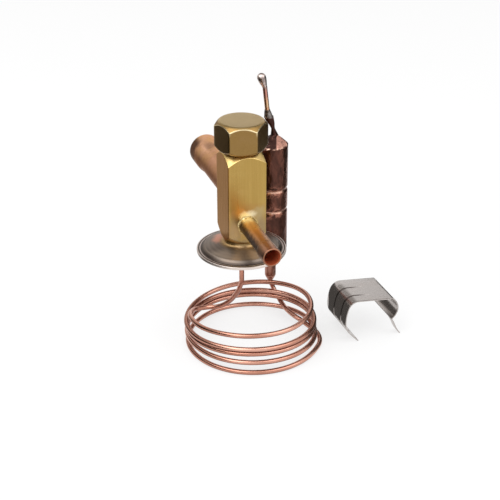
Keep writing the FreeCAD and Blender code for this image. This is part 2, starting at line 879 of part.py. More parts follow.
def make_fishtail_joint():
    # Flattened end of the charging tube, brazed to the side of the crimped neck
    foot = bulb_top_height + crimp_length + crimp_neck_length - fishtail_overlap
    top = foot + fishtail_height
    wide = Part.Ellipse(Vector(fishtail_offset, 0, foot), fishtail_width / 2, fishtail_thickness / 2)
    middle = Part.Ellipse(
        Vector(fishtail_offset, 0, foot + fishtail_skirt), fishtail_width / 2, fishtail_thickness / 2)
    body = Part.makeLoft([
        Part.Wire(wide.toShape()),
        Part.Wire(middle.toShape()),
        circle_at(charging_radius + fishtail_lip, charging_offset, top),
    ], True, True)
    body = body.cut([crimp_neck(), charging_stock(charging_radius)])
    body.translate(Vector(bulb_x, bulb_y, 0))
    return body


def charging_foot():
    return bulb_top_height + crimp_length + crimp_neck_length + charging_gap


def charging_stock(radius):
    # Straight leaning bar of the tube's size
    bar = cylinder(radius, 0, charging_length)
    bar.rotate(Vector(0, 0, 0), Vector(0, 1, 0), -charging_lean)
    bar.translate(Vector(charging_offset, 0, charging_foot()))
    return bar


def make_charging_tube():
    # Thin tube closed by a fused drop at its tip
    lean = math.radians(charging_lean)
    tip = Vector(charging_offset - charging_length * math.sin(lean), 0,
                 charging_foot() + charging_length * math.cos(lean))
    drop_belly = drop_length - drop_radius
    root = charging_radius + drop_root_swell
    drop = turned([
        (0, -root),
        (root * math.sqrt(0.5), -root * math.sqrt(0.5), root, 0),
        (drop_flank_radius, drop_flank_rise, drop_radius, drop_belly),
        (drop_radius * math.sqrt(0.5), drop_belly + drop_radius * math.sqrt(0.5), 0, drop_length),
    ])
    drop.rotate(Vector(0, 0, 0), Vector(0, 1, 0), -drop_lean)
    drop.translate(tip)
    tube = charging_stock(charging_radius).cut(charging_stock(charging_radius - charging_wall)).fuse(drop)
    tube.translate(Vector(bulb_x, bulb_y, 0))
    return tube.removeSplitter()


def strap(places, near, far):
    # Sheet bent through places (along, height, heading angle), as wide as from near to far
    spots = [Vector(along, 0, height) for along, height, angle in places]
    headings = []
    for along, height, angle in places:
        headings.append(Vector(math.cos(math.radians(angle)), 0, math.sin(math.radians(angle))))
    face = Part.Wire(smooth_path(spots, headings)).makeOffset2D(clip_sheet, 0, True, True)
    face.translate(Vector(0, near, 0))
    return face.extrude(Vector(0, far - near, 0))


def make_bulb_clip():
    # Saddle strap: a belly wall with comb slots, a flat top, a curled lip and a narrow tongue
    curl_bottom = clip_top_height - 2 * clip_curl_radius
    curl_middle = -clip_curl_radius / 2
    flat_start = curl_middle - clip_top_length
    flat_fall = -math.degrees(math.atan(clip_top_rise / clip_top_length))
    saddle = strap([
        (-clip_foot_offset, clip_sheet * math.sqrt(0.5), clip_foot_heading),
        (-clip_belly_offset, clip_belly_height, 90),
        (flat_start, clip_top_height + clip_top_rise, flat_fall),
        (curl_middle, clip_top_height, flat_fall),
        (curl_middle + clip_curl_radius, clip_top_height - clip_curl_radius, -90),
        (curl_middle, curl_bottom, 180),
    ], 0, clip_width)
    tongue = strap([
        (curl_middle, curl_bottom, clip_tongue_heading),
        (curl_middle + clip_curl_radius / 6, curl_bottom / 2, clip_tongue_bend_heading),
        (clip_tongue_reach, 0, 0),
    ], 0, clip_tongue_width)
    slots = []
    spacing = clip_width / clip_slot_count
    for number in range(clip_slot_count):
        near_side = spacing * (number + 0.5) - clip_slot_width / 2
        slots.append(Part.makeBox(
            clip_belly_offset, clip_slot_width, clip_slot_top - clip_slot_bottom,
            Vector(-1.5 * clip_belly_offset, near_side, clip_slot_bottom)))
    clip = saddle.fuse(tongue).cut(slots)
    clip.rotate(Vector(0, 0, 0), Vector(0, 0, 1), clip_turn)
    clip.translate(Vector(clip_near_x, clip_near_y, 0))
    return clip.removeSplitter()


pieces = {
    "valve_body": make_valve_body,
    "seat_insert": make_seat_insert,
    "inlet_tube": make_inlet_tube,
    "inlet_braze": lambda: make_braze(inlet_tube_outer_radius, inlet_direction, inlet_height),
    "inlet_strainer": make_inlet_strainer,
    "outlet_tube": make_outlet_tube,
    "outlet_braze": lambda: make_braze(outlet_tube_outer_radius, outlet_direction, outlet_height),
    "head_upper_case": make_upper_case,
    "head_lower_case": make_lower_case,
    "diaphragm": make_diaphragm,
    "thrust_plate": make_thrust_plate,
    "push_rod": make_push_rod,
    "valve_pin": make_valve_pin,
    "pin_carrier": make_pin_carrier,
    "superheat_spring": make_superheat_spring,
    "spring_seat": make_spring_seat,
    "adjusting_stem": make_adjusting_stem,
    "stem_ring": make_stem_ring,
    "gland_washer": make_gland_washer,
    "gland_nut": make_gland_nut,
    "cap_washer": make_cap_washer,
    "seal_cap": make_seal_cap,
    "capillary_tube": make_capillary_tube,
    "capillary_ferrule": make_capillary_ferrule,
    "bulb_shell": make_bulb_shell,
    "fishtail_joint": make_fishtail_joint,
    "charging_tube": make_charging_tube,
    "bulb_clip": make_bulb_clip,
}

os.makedirs("parts", exist_ok=True)
for name, make in pieces.items():
    piece = make()
    print(name, "valid", piece.isValid(), "solids", len(piece.Solids), "volume", round(piece.Volume, 2))
    piece.exportStep("parts/" + name + ".step")
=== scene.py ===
import bmesh
import bpy
import json
from math import atan, atan2, ceil, cos, degrees, pi, radians, sin, sqrt, tan
from mathutils import Matrix, Vector

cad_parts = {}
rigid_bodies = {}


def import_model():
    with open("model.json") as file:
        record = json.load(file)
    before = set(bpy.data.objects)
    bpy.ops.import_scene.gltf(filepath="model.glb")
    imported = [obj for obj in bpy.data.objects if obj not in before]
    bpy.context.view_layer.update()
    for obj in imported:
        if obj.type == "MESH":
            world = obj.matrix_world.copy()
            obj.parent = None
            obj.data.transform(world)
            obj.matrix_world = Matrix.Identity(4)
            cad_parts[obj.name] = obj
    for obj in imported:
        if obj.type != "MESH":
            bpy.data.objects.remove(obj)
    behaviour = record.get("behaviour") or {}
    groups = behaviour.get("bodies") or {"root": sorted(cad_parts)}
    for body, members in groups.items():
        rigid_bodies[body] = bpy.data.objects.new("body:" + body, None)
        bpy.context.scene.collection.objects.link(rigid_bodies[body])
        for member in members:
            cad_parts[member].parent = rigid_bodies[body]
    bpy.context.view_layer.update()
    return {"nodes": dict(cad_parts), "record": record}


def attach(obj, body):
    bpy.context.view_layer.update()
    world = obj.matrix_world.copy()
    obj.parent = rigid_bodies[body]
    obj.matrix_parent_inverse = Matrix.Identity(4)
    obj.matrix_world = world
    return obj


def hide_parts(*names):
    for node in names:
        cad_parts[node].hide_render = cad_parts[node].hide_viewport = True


for item in list(bpy.data.objects):
    bpy.data.objects.remove(item)
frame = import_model()
print("frame loaded with", len(frame["nodes"]), "nodes")

mm = 0.001
current = {}    # the node tree, shader inputs and material that the node helpers work on


# Node helpers

def shade(red, green, blue):
    # a colour as the eye sees it, from 0 to 255, made linear for the shader
    return tuple(((value / 255 + 0.055) / 1.055) ** 2.4 for value in (red, green, blue)) + (1,)


def plug(value, socket):
    if isinstance(value, bpy.types.NodeSocket):
        current["tree"].links.new(value, socket)
    else:
        socket.default_value = value


def addNode(kind, named=None, **values):
    # inputs are given by name in a dictionary, or by number as i0, i1 and so on; the rest are settings
    node = current["tree"].nodes.new(kind)
    for key, value in values.items():
        if key[0] == "i" and key[1:].isdigit():
            plug(value, node.inputs[int(key[1:])])
        else:
            setattr(node, key, value)
    for key, value in (named or {}).items():
        plug(value, node.inputs[key])
    return node


def maths(operation, first, second=0.0):
    return addNode("ShaderNodeMath", operation=operation, i0=first, i1=second).outputs[0]


def plus(first, second):
    return maths("ADD", first, second)


def minus(first, second):
    return maths("SUBTRACT", first, second)


def times(first, second):
    return maths("MULTIPLY", first, second)


def vectorMaths(operation, output, **inputs):
    return addNode("ShaderNodeVectorMath", operation=operation, **inputs).outputs[output]


def parts(vector):
    return addNode("ShaderNodeSeparateXYZ", i0=vector).outputs


def normalParts():
    return parts(addNode("ShaderNodeTexCoord").outputs["Normal"])


def place(stretch=(1, 1, 1), turn=0.0, shift=(0, 0, 0)):
    # the piece's own position in millimetres, stretched for a pattern and turned about Z
    return addNode("ShaderNodeMapping", i0=addNode("ShaderNodeTexCoord").outputs["Object"], i1=shift,
                   i2=(0, 0, radians(turn)), i3=tuple(value / mm for value in stretch)).outputs[0]


def axisRadius():
    return vectorMaths("LENGTH", "Value", i0=place((1, 1, 0)))


def noise(scale, detail=3.0, roughness=0.55, distortion=0.0, stretch=(1, 1, 1), turn=0.0):
    return addNode("ShaderNodeTexNoise", {
        "Vector": place(stretch, turn), "Scale": scale, "Detail": detail, "Roughness": roughness,
        "Distortion": distortion}, noise_dimensions="3D").outputs["Fac"]


def noiseAlong(value, scale, detail=3.0):
    return addNode("ShaderNodeTexNoise", {"W": value, "Scale": scale, "Detail": detail},
                   noise_dimensions="1D").outputs["Fac"]


def spread(value, low, high, lowTo=0.0, highTo=1.0, smooth=True):
    return addNode("ShaderNodeMapRange", interpolation_type="SMOOTHSTEP" if smooth else "LINEAR",
                   i0=value, i1=low, i2=high, i3=lowTo, i4=highTo).outputs[0]


def blend(share, below, above):
    return addNode("ShaderNodeMix", data_type="RGBA", i0=share, i6=below, i7=above).outputs[2]


def blendNumber(share, below, above):
    return addNode("ShaderNodeMix", data_type="FLOAT", i0=share, i2=below, i3=above).outputs[0]


def layered(colour, v, layers):
    # tones laid over a colour, each as its name, its share and its strength
    for tone, share, strength in layers:
        colour = blend(share if strength == 1 else times(share, strength), colour, v[tone])
    return colour


def ramp(value, v, *stops):
    # each stop is the name of a tone and its place from 0 to 1
    node = addNode("ShaderNodeValToRGB", i0=value)
    elements = node.color_ramp.elements
    for element, (tone, position) in zip(elements, (stops[0], stops[-1])):
        element.position, element.color = position, v[tone]
    for tone, position in stops[1:-1]:
        elements.new(position).color = v[tone]
    return node.outputs[0]


def raiseFrom(height, distance, below=None):
    node = addNode("ShaderNodeBump", {"Distance": distance * mm, "Height": height})
    if below is not None:
        plug(below, node.inputs["Normal"])
    return node.outputs[0]


def axisMeasures(way, height):
    # distance along a level tube from the valve's axis, and distance out from the tube's own axis
    spot = vectorMaths("SUBTRACT", "Vector", i0=addNode("ShaderNodeTexCoord").outputs["Object"],
                       i1=(0, 0, height * mm))
    along = vectorMaths("DOT_PRODUCT", "Value", i0=spot, i1=way)
    foot = vectorMaths("SCALE", "Vector", i0=way, i3=along)
    return times(along, 1 / mm), times(vectorMaths("DISTANCE", "Value", i0=spot, i1=foot), 1 / mm)


def sideMeasure(way):
    # distance in millimetres along a level direction square to the given one, to its right
    x, y, z = parts(place())
    return plus(times(x, -way.y), times(y, way.x))


def spotShare(across, up, wander, spot):
    # share of a soft round stain: its middle (across, up), its half sizes and its strength
    middleAcross, middleUp, halfAcross, halfUp, strength = spot
    offset = addNode("ShaderNodeCombineXYZ", i0=maths("DIVIDE", minus(across, middleAcross), halfAcross),
                     i1=maths("DIVIDE", minus(up, middleUp), halfUp))
    reach = vectorMaths("LENGTH", "Value", i0=offset.outputs[0])
    return times(spread(plus(reach, times(minus(wander, 0.5), 1.3)), 1.3, 0.35), strength)


def startMetal(name, **colours):
    # bare metal to which each finish adds its own colour and marks; gives back its tones
    material = bpy.data.materials.new(name)
    material.use_nodes = True
    shader = material.node_tree.nodes["Principled BSDF"].inputs
    shader["Metallic"].default_value = 1.0
    current.update(material=material, tree=material.node_tree, shader=shader)
    return {tone: shade(*value) for tone, value in colours.items()}


def finished(colour, roughness, height=None, distance=0.0, below=None):
    plug(colour, current["shader"]["Base Color"])
    plug(roughness, current["shader"]["Roughness"])
    if height is not None:
        plug(raiseFrom(height, distance, below), current["shader"]["Normal"])
    return current["material"]


# Shape helpers

def heading(angle):
    return Vector((cos(radians(angle)), sin(radians(angle)), 0))


def wayAt(angle):
    # direction in the plane of X and Z, from level at 0 to upright at 90
    return Vector((cos(radians(angle)), 0, sin(radians(angle))))


def raised(height):
    return Vector((0, 0, height))


def evenAngles(columns):
    return [360 * number / columns for number in range(columns)]


def newObject(name, data):
    made = bpy.data.objects.new(name, data)
    bpy.context.scene.collection.objects.link(made)
    return made


def fromBuild(name, build):
    mesh = bpy.data.meshes.new(name)
    build.to_mesh(mesh)
    build.free()
    return newObject(name, mesh)


def softened(corners, closed=True, steps=5):
    # corners are (r, z) or (r, z, rounding); each rounded one becomes a short curve
    points = []
    for number, corner in enumerate(corners):
        here = Vector(corner[:2])
        isEnd = not closed and number in (0, len(corners) - 1)
        if len(corner) < 3 or isEnd:
            points.append(here)
            continue
        before = Vector(corners[number - 1][:2]) - here
        after = Vector(corners[(number + 1) % len(corners)][:2]) - here
        reach = min(corner[2], before.length * 0.48, after.length * 0.48)
        start = here + before.normalized() * reach
        end = here + after.normalized() * reach
        for step in range(steps + 1):
            share = step / steps
            points.append(start * (1 - share) ** 2 + here * 2 * share * (1 - share) + end * share ** 2)
    return points


def ringSkin(name, rings, wrap):
    # closed skin through rings of points in millimetres; a ring of one point is a pole
    build = bmesh.new()
    rows = [[build.verts.new(point * mm) for point in ring] for ring in rings]
    pairs = list(zip(rows, rows[1:]))
    if wrap:
        pairs.append((rows[-1], rows[0]))
    for lower, upper in pairs:
        count = max(len(lower), len(upper))
        for number in range(count):
            following = (number + 1) % count
            if len(lower) == 1:
                build.faces.new((lower[0], upper[following], upper[number]))
            elif len(upper) == 1:
                build.faces.new((lower[number], lower[following], upper[0]))
            else:
                build.faces.new((lower[number], lower[following], upper[following], upper[number]))
    bmesh.ops.recalc_face_normals(build, faces=build.faces)
    return fromBuild(name, build)


def roundRing(angles, radius, height):
    if radius < 1e-6:
        return [raised(height)]
    return [heading(angle) * radius + raised(height) for angle in angles]


def turnedSkin(name, outline, columns=128):
    # skin of revolution about Z, from an outline of (r, z) that closes on itself or on the axis
    angles = evenAngles(columns)
    onAxis = outline[0][0] < 1e-6 and outline[-1][0] < 1e-6
    return ringSkin(name, [roundRing(angles, r, z) for r, z in outline], wrap=not onAxis)


def laidAlong(piece, way, height):
    # a piece that was made along Z is laid to a level heading at this height
    piece.data.transform(way.to_track_quat("Z", "Y").to_matrix().to_4x4())
    piece.data.transform(Matrix.Translation(raised(height * mm)))


def sweptSkin(name, stations, columns):
    # skin round a bent line; a station is (centre, direction, radius), and radius 0 is a pole
    rings = []
    for centre, direction, radius in stations:
        side = direction.cross(Vector((0, 1, 0))).normalized()
        depth = direction.cross(side).normalized()
        turns = [2 * pi * number / columns for number in range(columns if radius else 1)]
        rings.append([centre + (side * cos(turn) + depth * sin(turn)) * radius for turn in turns])
    return ringSkin(name, rings, wrap=False)


def arcPoints(start, end, way, spacing, fromEnd=False):
    # points on the arc from start to end that runs the given way at its start, or else at its end
    first, last, leaving = (end, start, -way) if fromEnd else (start, end, way.copy())
    chord = last - first
    along = chord.normalized()
    sideways = leaving - along * leaving.dot(along)
    count = max(2, ceil(chord.length / spacing))
    if sideways.length < 1e-6:
        points = [first.lerp(last, step / count) for step in range(count + 1)]
    else:
        half = atan2(sideways.length, leaving.dot(along))
        sideways.normalize()
        radius = chord.length / 2 / sin(half)
        centre = (first + last) / 2 - sideways * radius * cos(half)
        turns = [half * (1 - 2 * step / count) for step in range(count + 1)]
        points = [centre + (sideways * cos(turn) - along * sin(turn)) * radius for turn in turns]
    return points[::-1] if fromEnd else points


def smoothPath(points, headings, spacing):
    # two tangent arcs between each point and the next; a heading of None follows from its neighbours
    known = list(headings)
    for number, way in enumerate(known):
        if way is None:
            arriving = points[number] - points[number - 1]
            leaving = points[number + 1] - points[number]
            way = arriving / arriving.length_squared + leaving / leaving.length_squared
        known[number] = way.normalized()
    path = [points[0]]
    for start, end, leaving, arriving in zip(points, points[1:], known, known[1:]):
        chord = end - start
        forward = chord.dot(leaving + arriving)
        spreadOut = 2 * (1 - leaving.dot(arriving))
        if spreadOut < 1e-9:
            reach = chord.dot(chord) / (2 * forward)
        else:
            reach = (sqrt(forward ** 2 + spreadOut * chord.dot(chord)) - forward) / spreadOut
        joint = (start + end + (leaving - arriving) * reach) / 2
        path += arcPoints(start, joint, leaving, spacing)[1:]
        path += arcPoints(joint, end, arriving, spacing, fromEnd=True)[1:]
    return path


def plainMesh(name, carrier):
    # the evaluated result of a carrier's modifiers as a mesh of its own
    graph = bpy.context.evaluated_depsgraph_get()
    mesh = bpy.data.meshes.new_from_object(carrier.evaluated_get(graph), depsgraph=graph)
    bpy.data.objects.remove(carrier)
    return newObject(name, mesh)


def joined(name, pieces):
    # several meshes as one piece
    build = bmesh.new()
    for piece in pieces:
        build.from_mesh(piece.data)
        bpy.data.objects.remove(piece)
    return fromBuild(name, build)


def settle(piece, node, body="valve", sharpAngle=38):
    # shading, finish and place in the frame for a finished piece
    piece.data.materials.clear()
    piece.data.materials.append(finishes[nodeSlots[node]])
    piece.data.shade_smooth()
    piece.data.set_sharp_from_angle(angle=radians(sharpAngle))
    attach(piece, body)
    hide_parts(node)


# Node groups that sweep a round section along a line

def sweepGroup(name, kinds, drawLine):
    # drawLine gives the line, the section's radius and its number of sides, from the group's inputs
    tree = bpy.data.node_groups.new(name, "GeometryNodeTree")
    current["tree"] = tree
    sockets = {}
    for key, kind in kinds.items():
        sockets[key] = tree.interface.new_socket(key, in_out="INPUT", socket_type="NodeSocket" + kind).identifier
    tree.interface.new_socket("Geometry", in_out="OUTPUT", socket_type="NodeSocketGeometry")
    given = addNode("NodeGroupInput").outputs
    line, radius, sides = drawLine(given)
    section = addNode("GeometryNodeCurvePrimitiveCircle", {"Resolution": sides, "Radius": radius})
    sweep = addNode("GeometryNodeCurveToMesh", {
        "Curve": line, "Profile Curve": section.outputs["Curve"], "Fill Caps": True})
    whole = addNode("GeometryNodeRealizeInstances", i0=sweep.outputs[0])
    finish = addNode("GeometryNodeSetMaterial", {"Geometry": whole.outputs[0], "Material": given["Finish"]})
    addNode("NodeGroupOutput", i0=finish.outputs[0])
    return tree, sockets


def threadLine(given):
    # helical ridge: a spiral with a small round section, half sunk in its core
    spiral = addNode("GeometryNodeCurveSpiral", {
        "Resolution": given["Steps"], "Rotations": given["Turns"], "Start Radius": given["Radius"],
        "End Radius": given["Radius"], "Height": times(given["Turns"], given["Pitch"])})
    lift = addNode("ShaderNodeCombineXYZ", {"Z": given["Height"]})
    move = addNode("GeometryNodeTransform", {"Geometry": spiral.outputs[0], "Translation": lift.outputs[0]})
    return move.outputs[0], given["Ridge"], given["Sides"]


def tubeLine(given):
    # the line itself, with the distance along it kept for the finish
    length = addNode("GeometryNodeSplineParameter").outputs["Length"]
    store = addNode("GeometryNodeStoreNamedAttribute", {
        "Geometry": given["Geometry"], "Name": "alongTube", "Value": length}, data_type="FLOAT", domain="POINT")
    return store.outputs[0], given["Radius"], given["Sides"]


threadGroup = sweepGroup("threadRidge", {
    "Radius": "Float", "Turns": "Float", "Pitch": "Float", "Ridge": "Float", "Height": "Float",
    "Steps": "Int", "Sides": "Int", "Finish": "Material"}, threadLine)
tubeGroup = sweepGroup("drawnTube", {"Geometry": "Geometry", "Radius": "Float", "Sides": "Int",
                                     "Finish": "Material"}, tubeLine)


def grown(name, data, group, given):
    # a piece that a node group makes, with the values for its named inputs
    carrier = newObject(name + "Carrier", data)
    modifier = carrier.modifiers.new("sweep", "NODES")
    modifier.node_group, sockets = group
    for key, value in given.items():
        modifier[sockets[key]] = value
    return plainMesh(name, carrier)


def threadRidge(name, v, material):
    return grown(name, bpy.data.meshes.new(name), threadGroup, {
        "Radius": v["radius"] * mm, "Turns": v["turns"], "Pitch": v["pitch"] * mm, "Ridge": v["ridge"] * mm,
        "Height": v["foot"] * mm, "Steps": v["steps"], "Sides": v["sides"], "Finish": material})


def sweptTube(name, route, radius, sides, material):
    # a line of points in millimetres as a tube of this radius
    curve = bpy.data.curves.new(name, "CURVE")
    curve.dimensions = "3D"
    spline = curve.splines.new("POLY")
    spline.points.add(len(route) - 1)
    for point, spot in zip(spline.points, route):
        point.co = (*(spot * mm), 1)
    return grown(name, curve, tubeGroup, {"Radius": radius * mm, "Sides": sides, "Finish": material})


# Values that finishes and pieces share

barTurn = 18.5
halfFlat = 10.0
inletWay, inletHeight, inletRadius = heading(barTurn - 90), 74.3, 4.4
outletWay, outletHeight, outletRadius = heading(barTurn + 90), 87.0, 7.95
clipNear = Vector((80.9, 7.0, 0))
clipTurn = 19.7
clipSlits = ((6.2, 7.2), (15.2, 16.2))
bulbX, bulbY, bulbTop, bulbFoot = 15.8, 41.5, 98.0, 16.0
bulbGrooves = (61.0, 73.1)


# Finishes

# colours that the flame left round the small tube: tone, then its place and size on the flat
flameStains = (
    ((174, 134, 78), (1.5, 9.2, 8.0, 3.2, 0.55)),
    ((208, 162, 98), (-5.0, 6.4, 4.6, 4.0, 0.75)),
    ((182, 164, 122), (6.2, 5.8, 3.4, 4.4, 0.6)),
    ((176, 144, 106), (-7.6, -3.0, 2.8, 9.0, 0.5)),
    ((152, 132, 104), (7.4, -3.0, 2.6, 9.0, 0.6)),
    ((252, 240, 202), (-0.4, 5.4, 4.4, 2.6, 1.0)),
)


def barBrass():
    v = startMetal("barBrass", edgeTint=(250, 238, 220), drawn=(184, 152, 86), drawnDark=(177, 145, 80),
                   pale=(200, 172, 108), stain=(150, 130, 96), sideBrown=(166, 112, 56),
                   rootStain=(168, 124, 80), cone=(216, 186, 122))
    current["shader"]["Specular Tint"].default_value = v["edgeTint"]
    streaks = noise(1.4, 4.0, stretch=(1, 1, 0.02))
    patches = noise(0.09, distortion=0.6)
    wander = noise(0.24, 4.0, 0.6, 0.5)
    z = parts(place())[2]
    across = sideMeasure(inletWay)
    layers = [("pale", spread(patches, 0.45, 0.75), 0.4),
              # darker towards the bottom, in patches
              ("stain", times(spread(z, 84.0, 66.0), spread(wander, 0.3, 0.55)), 0.8),
              # painted shade: the left flat is made browner and darker
              ("sideBrown", spread(across, -9.2, -9.9), 0.85)]
    for way, height, root in ((inletWay, inletHeight, inletRadius), (outletWay, outletHeight, outletRadius)):
        along, out = axisMeasures(way, height)
        wavy = plus(out, times(patches, 5.0))
        layers.append(("rootStain", times(spread(wavy, root + 10.0, root + 3.0), spread(along, 8.6, 9.6)), 0.4))
    colour = layered(blend(spread(streaks, 0.3, 0.75), v["drawnDark"], v["drawn"]), v, layers)
    near = spread(axisMeasures(inletWay, inletHeight)[0], 8.6, 9.6)
    for tone, spot in flameStains:
        stained = spotShare(across, minus(z, inletHeight), wander, spot)
        colour = blend(times(stained, near), colour, shade(*tone))
    upward = normalParts()[2]
    # painted sheen: the upward-facing top chamfer is made lighter
    cone = times(spread(upward, 0.25, 0.55), spread(z, 103.5, 105.5))
    colour = layered(colour, v, [("cone", cone, 0.9)])
    # drawn lines on the flats, turned rings on the cones and faces
    fine = noise(4.0, stretch=(1, 1, 0.02))
    rings = noiseAlong(plus(axisRadius(), times(z, 0.7)), 5.0, 2.0)
    marks = blendNumber(spread(maths("ABSOLUTE", upward), 0.2, 0.35), fine, rings)
    rough = spread(noise(0.9, 4.0, stretch=(1, 1, 0.06)), 0.3, 0.7, 0.26, 0.36)
    return finished(colour, rough, marks, 0.005)


def capBrass():
    v = startMetal("capBrass", grain=(154, 123, 74), grainDark=(138, 108, 62), tan=(152, 122, 80),
                   top=(192, 166, 114), worn=(250, 232, 186))
    z = parts(place())[2]
    upward = normalParts()[2]
    grain = noise(2.6, 6.0, 0.7)
    colour = layered(blend(spread(grain, 0.3, 0.7), v["grainDark"], v["grain"]), v, [
        # the top face is lighter: partly its own brushed finish, partly painted light
        ("tan", spread(noise(0.16), 0.45, 0.75), 0.4), ("top", spread(z, 126.6, 127.0), 0.8),
        # painted highlight along the rounded edge between the flats and the chamfer
        ("worn", times(spread(upward, 0.05, 0.2), spread(upward, 0.62, 0.45)), 0.9)])
    rings = noiseAlong(plus(axisRadius(), times(z, 0.6)), 6.0, 2.0)
    marks = blendNumber(spread(upward, 0.2, 0.4), noise(3.6, 5.0, 0.7, stretch=(1, 1, 0.35)), rings)
    return finished(colour, spread(grain, 0.3, 0.7, 0.26, 0.4), marks, 0.025)


def inletCopper():
    v = startMetal("inletCopper", root=(236, 216, 164), gold=(232, 190, 118), orange=(222, 164, 104),
                   brown=(196, 142, 96), bell=(180, 132, 92), mouth=(176, 124, 98), soot=(66, 46, 30),
                   inside=(182, 90, 56))
    along, out = axisMeasures(inletWay, inletHeight)
    shifted = plus(along, times(minus(noise(0.22, 4.0, distortion=0.8), 0.5), 16.0))
    colour = ramp(spread(shifted, 10.0, 47.4, smooth=False), v, ("root", 0.07), ("gold", 0.2),
                  ("orange", 0.38), ("brown", 0.6), ("bell", 0.78), ("mouth", 1.0))
    # soot in patches, and painted shade on the side turned down and to the left
    high = minus(parts(place())[2], inletHeight)
    turnedAway = plus(times(sideMeasure(inletWay), 0.75), times(high, 0.66))
    grime = noise(0.5, 5.0, 0.7)
    soot = times(spread(plus(turnedAway, times(grime, 4.0)), 2.8, -0.4), spread(along, 44.0, 36.0, 0.35, 1.0))
    inside = spread(out, 4.12, 4.0)
    colour = layered(colour, v, [("soot", soot, 0.92), ("soot", spread(grime, 0.6, 0.74), 0.4),
                                 ("inside", inside, 1)])
    plug(spread(inside, 0.0, 1.0, 1.0, 0.25), current["shader"]["Metallic"])
    rough = spread(noise(0.8, 4.0), 0.3, 0.7, 0.28, 0.42)
    return finished(colour, rough, noise(1.8, 4.0, 0.6), 0.018)


def outletCopper():
    v = startMetal("outletCopper", edgeTint=(240, 214, 200), pink=(230, 180, 146), tan=(226, 178, 128),
                   brown=(146, 100, 76), root=(202, 150, 120), under=(112, 76, 58), end=(64, 50, 46),
                   inside=(132, 84, 64))
    current["shader"]["Specular Tint"].default_value = v["edgeTint"]
    along, out = axisMeasures(outletWay, outletHeight)
    patches = noise(0.12, 4.0, distortion=0.7)
    drawn = noise(0.5, 3.0, 0.5)
    toRight, away, upward = normalParts()
    # painted shade on the left of the mouth and on the underside
    smoked = times(spread(plus(along, times(drawn, 5.0)), 56.0, 61.0), spread(toRight, -0.3, -0.7))
    colour = layered(blend(spread(patches, 0.35, 0.65), v["pink"], v["tan"]), v, [
        ("brown", spread(drawn, 0.5, 0.75), 0.3),
        # painted sheen: lighter towards the root
        ("root", spread(plus(along, times(patches, 10.0)), 52.0, 40.0), 0.5),
        # painted shade on the underside
        ("under", spread(upward, 0.7, 0.1), 0.85), ("end", smoked, 0.9),
        ("inside", times(spread(out, 8.12, 8.0), spread(along, 50.0, 51.0)), 0.8)])
    return finished(colour, spread(drawn, 0.3, 0.7, 0.3, 0.4), noise(1.3, 3.0, 0.5), 0.015)


def headSteel():
    v = startMetal("headSteel", dark=(124, 113, 104), grey=(144, 132, 121), warm=(146, 126, 112),
                   collar=(190, 154, 98), crease=(84, 74, 68), rim=(226, 214, 206), worn=(196, 178, 160),
                   flush=(220, 158, 132))
    x, y, z = parts(place())
    radius = axisRadius()
    broad = noiseAlong(radius, 0.9)
    colour = layered(blend(spread(broad, 0.35, 0.65), v["dark"], v["grey"]), v, [
        ("warm", spread(noise(0.1, distortion=0.5), 0.4, 0.7), 0.35),
        ("flush", spotShare(x, y, noise(0.3, 4.0, 0.6), (-11.8, 3.6, 3.4, 6.2, 1.0)), 1),
        ("collar", times(spread(radius, 12.4, 9.6), spread(z, 59.0, 61.0)), 0.8),
        # painted highlight on the front of the crown's edge
        ("worn", times(spread(y, -7.5, -13.0), spread(radius, 19.4, 18.4)), 0.7)])
    # painted shade in the fold and the dark line, painted highlights on the bead and the lip of the rim
    edge = ramp(spread(radius, 20.2, 23.2, smooth=False), v, ("crease", 0.0), ("crease", 0.3), ("rim", 0.4),
                ("rim", 0.52), ("crease", 0.6), ("crease", 0.72), ("rim", 0.82))
    colour = blend(spread(radius, 19.6, 20.4), colour, edge)
    return finished(colour, spread(broad, 0.3, 0.7, 0.36, 0.44), noiseAlong(radius, 5.0, 2.0), 0.01)


def bulbCopper():
    v = startMetal("bulbCopper", dark=(66, 46, 40), burgundy=(84, 55, 47), red=(104, 66, 55), pink=(132, 88, 75),
                   lip=(166, 112, 94), bright=(226, 180, 158), crown=(62, 42, 38), clean=(206, 152, 134),
                   foot=(176, 126, 108))
    x, y, z = parts(place())
    clouds = noise(0.2, 5.0, 0.6, 0.9, (1, 1, 0.45))
    drawn = noise(0.9, 4.0, stretch=(1, 1, 0.05))
    flecks = noise(0.42, 4.0, 0.6, 0.8, (1, 1, 1.4))
    layers = [("dark", spread(drawn, 0.5, 0.75), 0.3)]
    # painted highlights on and beside the rolled grooves, in ragged patches
    for height in bulbGrooves:
        offset = maths("ABSOLUTE", minus(z, height))
        layers += [("lip", times(spread(offset, 4.6, 1.8), spread(flecks, 0.44, 0.56)), 0.75),
                   ("bright", times(spread(offset, 1.0, 0.4), spread(flecks, 0.3, 0.5, 0.3, 1.0)), 0.85)]
    # painted shade over the crimped top, a painted reflection on the flat to the right that the crimping jaws
    # left, and painted glints on the edge under them in places
    crown = spread(z, bulbTop - 0.1, bulbTop + 0.2)
    cleanSide = times(spread(x, bulbX + 2.2, bulbX + 3.0), spread(z, bulbTop + 5.4, bulbTop + 4.4))
    glint = times(spread(maths("ABSOLUTE", minus(z, bulbTop)), 0.55, 0.2), spread(flecks, 0.46, 0.56))
    # painted sheen on the side facing right
    lit = times(spread(normalParts()[0], 0.5, 0.85), spread(clouds, 0.3, 0.6, 0.4, 1.0))
    layers += [("crown", crown, 0.9),
               ("clean", times(times(crown, cleanSide), spread(flecks, 0.3, 0.5, 0.6, 1.0)), 1),
               ("bright", glint, 0.9), ("lip", lit, 0.6), ("foot", spread(z, 36.0, 30.0), 0.85)]
    colour = ramp(clouds, v, ("dark", 0.3), ("burgundy", 0.48), ("red", 0.62), ("pink", 0.78))
    dents = raiseFrom(noise(0.35, 2.0, stretch=(1, 1, 0.6)), 0.5)
    return finished(layered(colour, v, layers), spread(clouds, 0.3, 0.7, 0.36, 0.26), drawn, 0.02, dents)


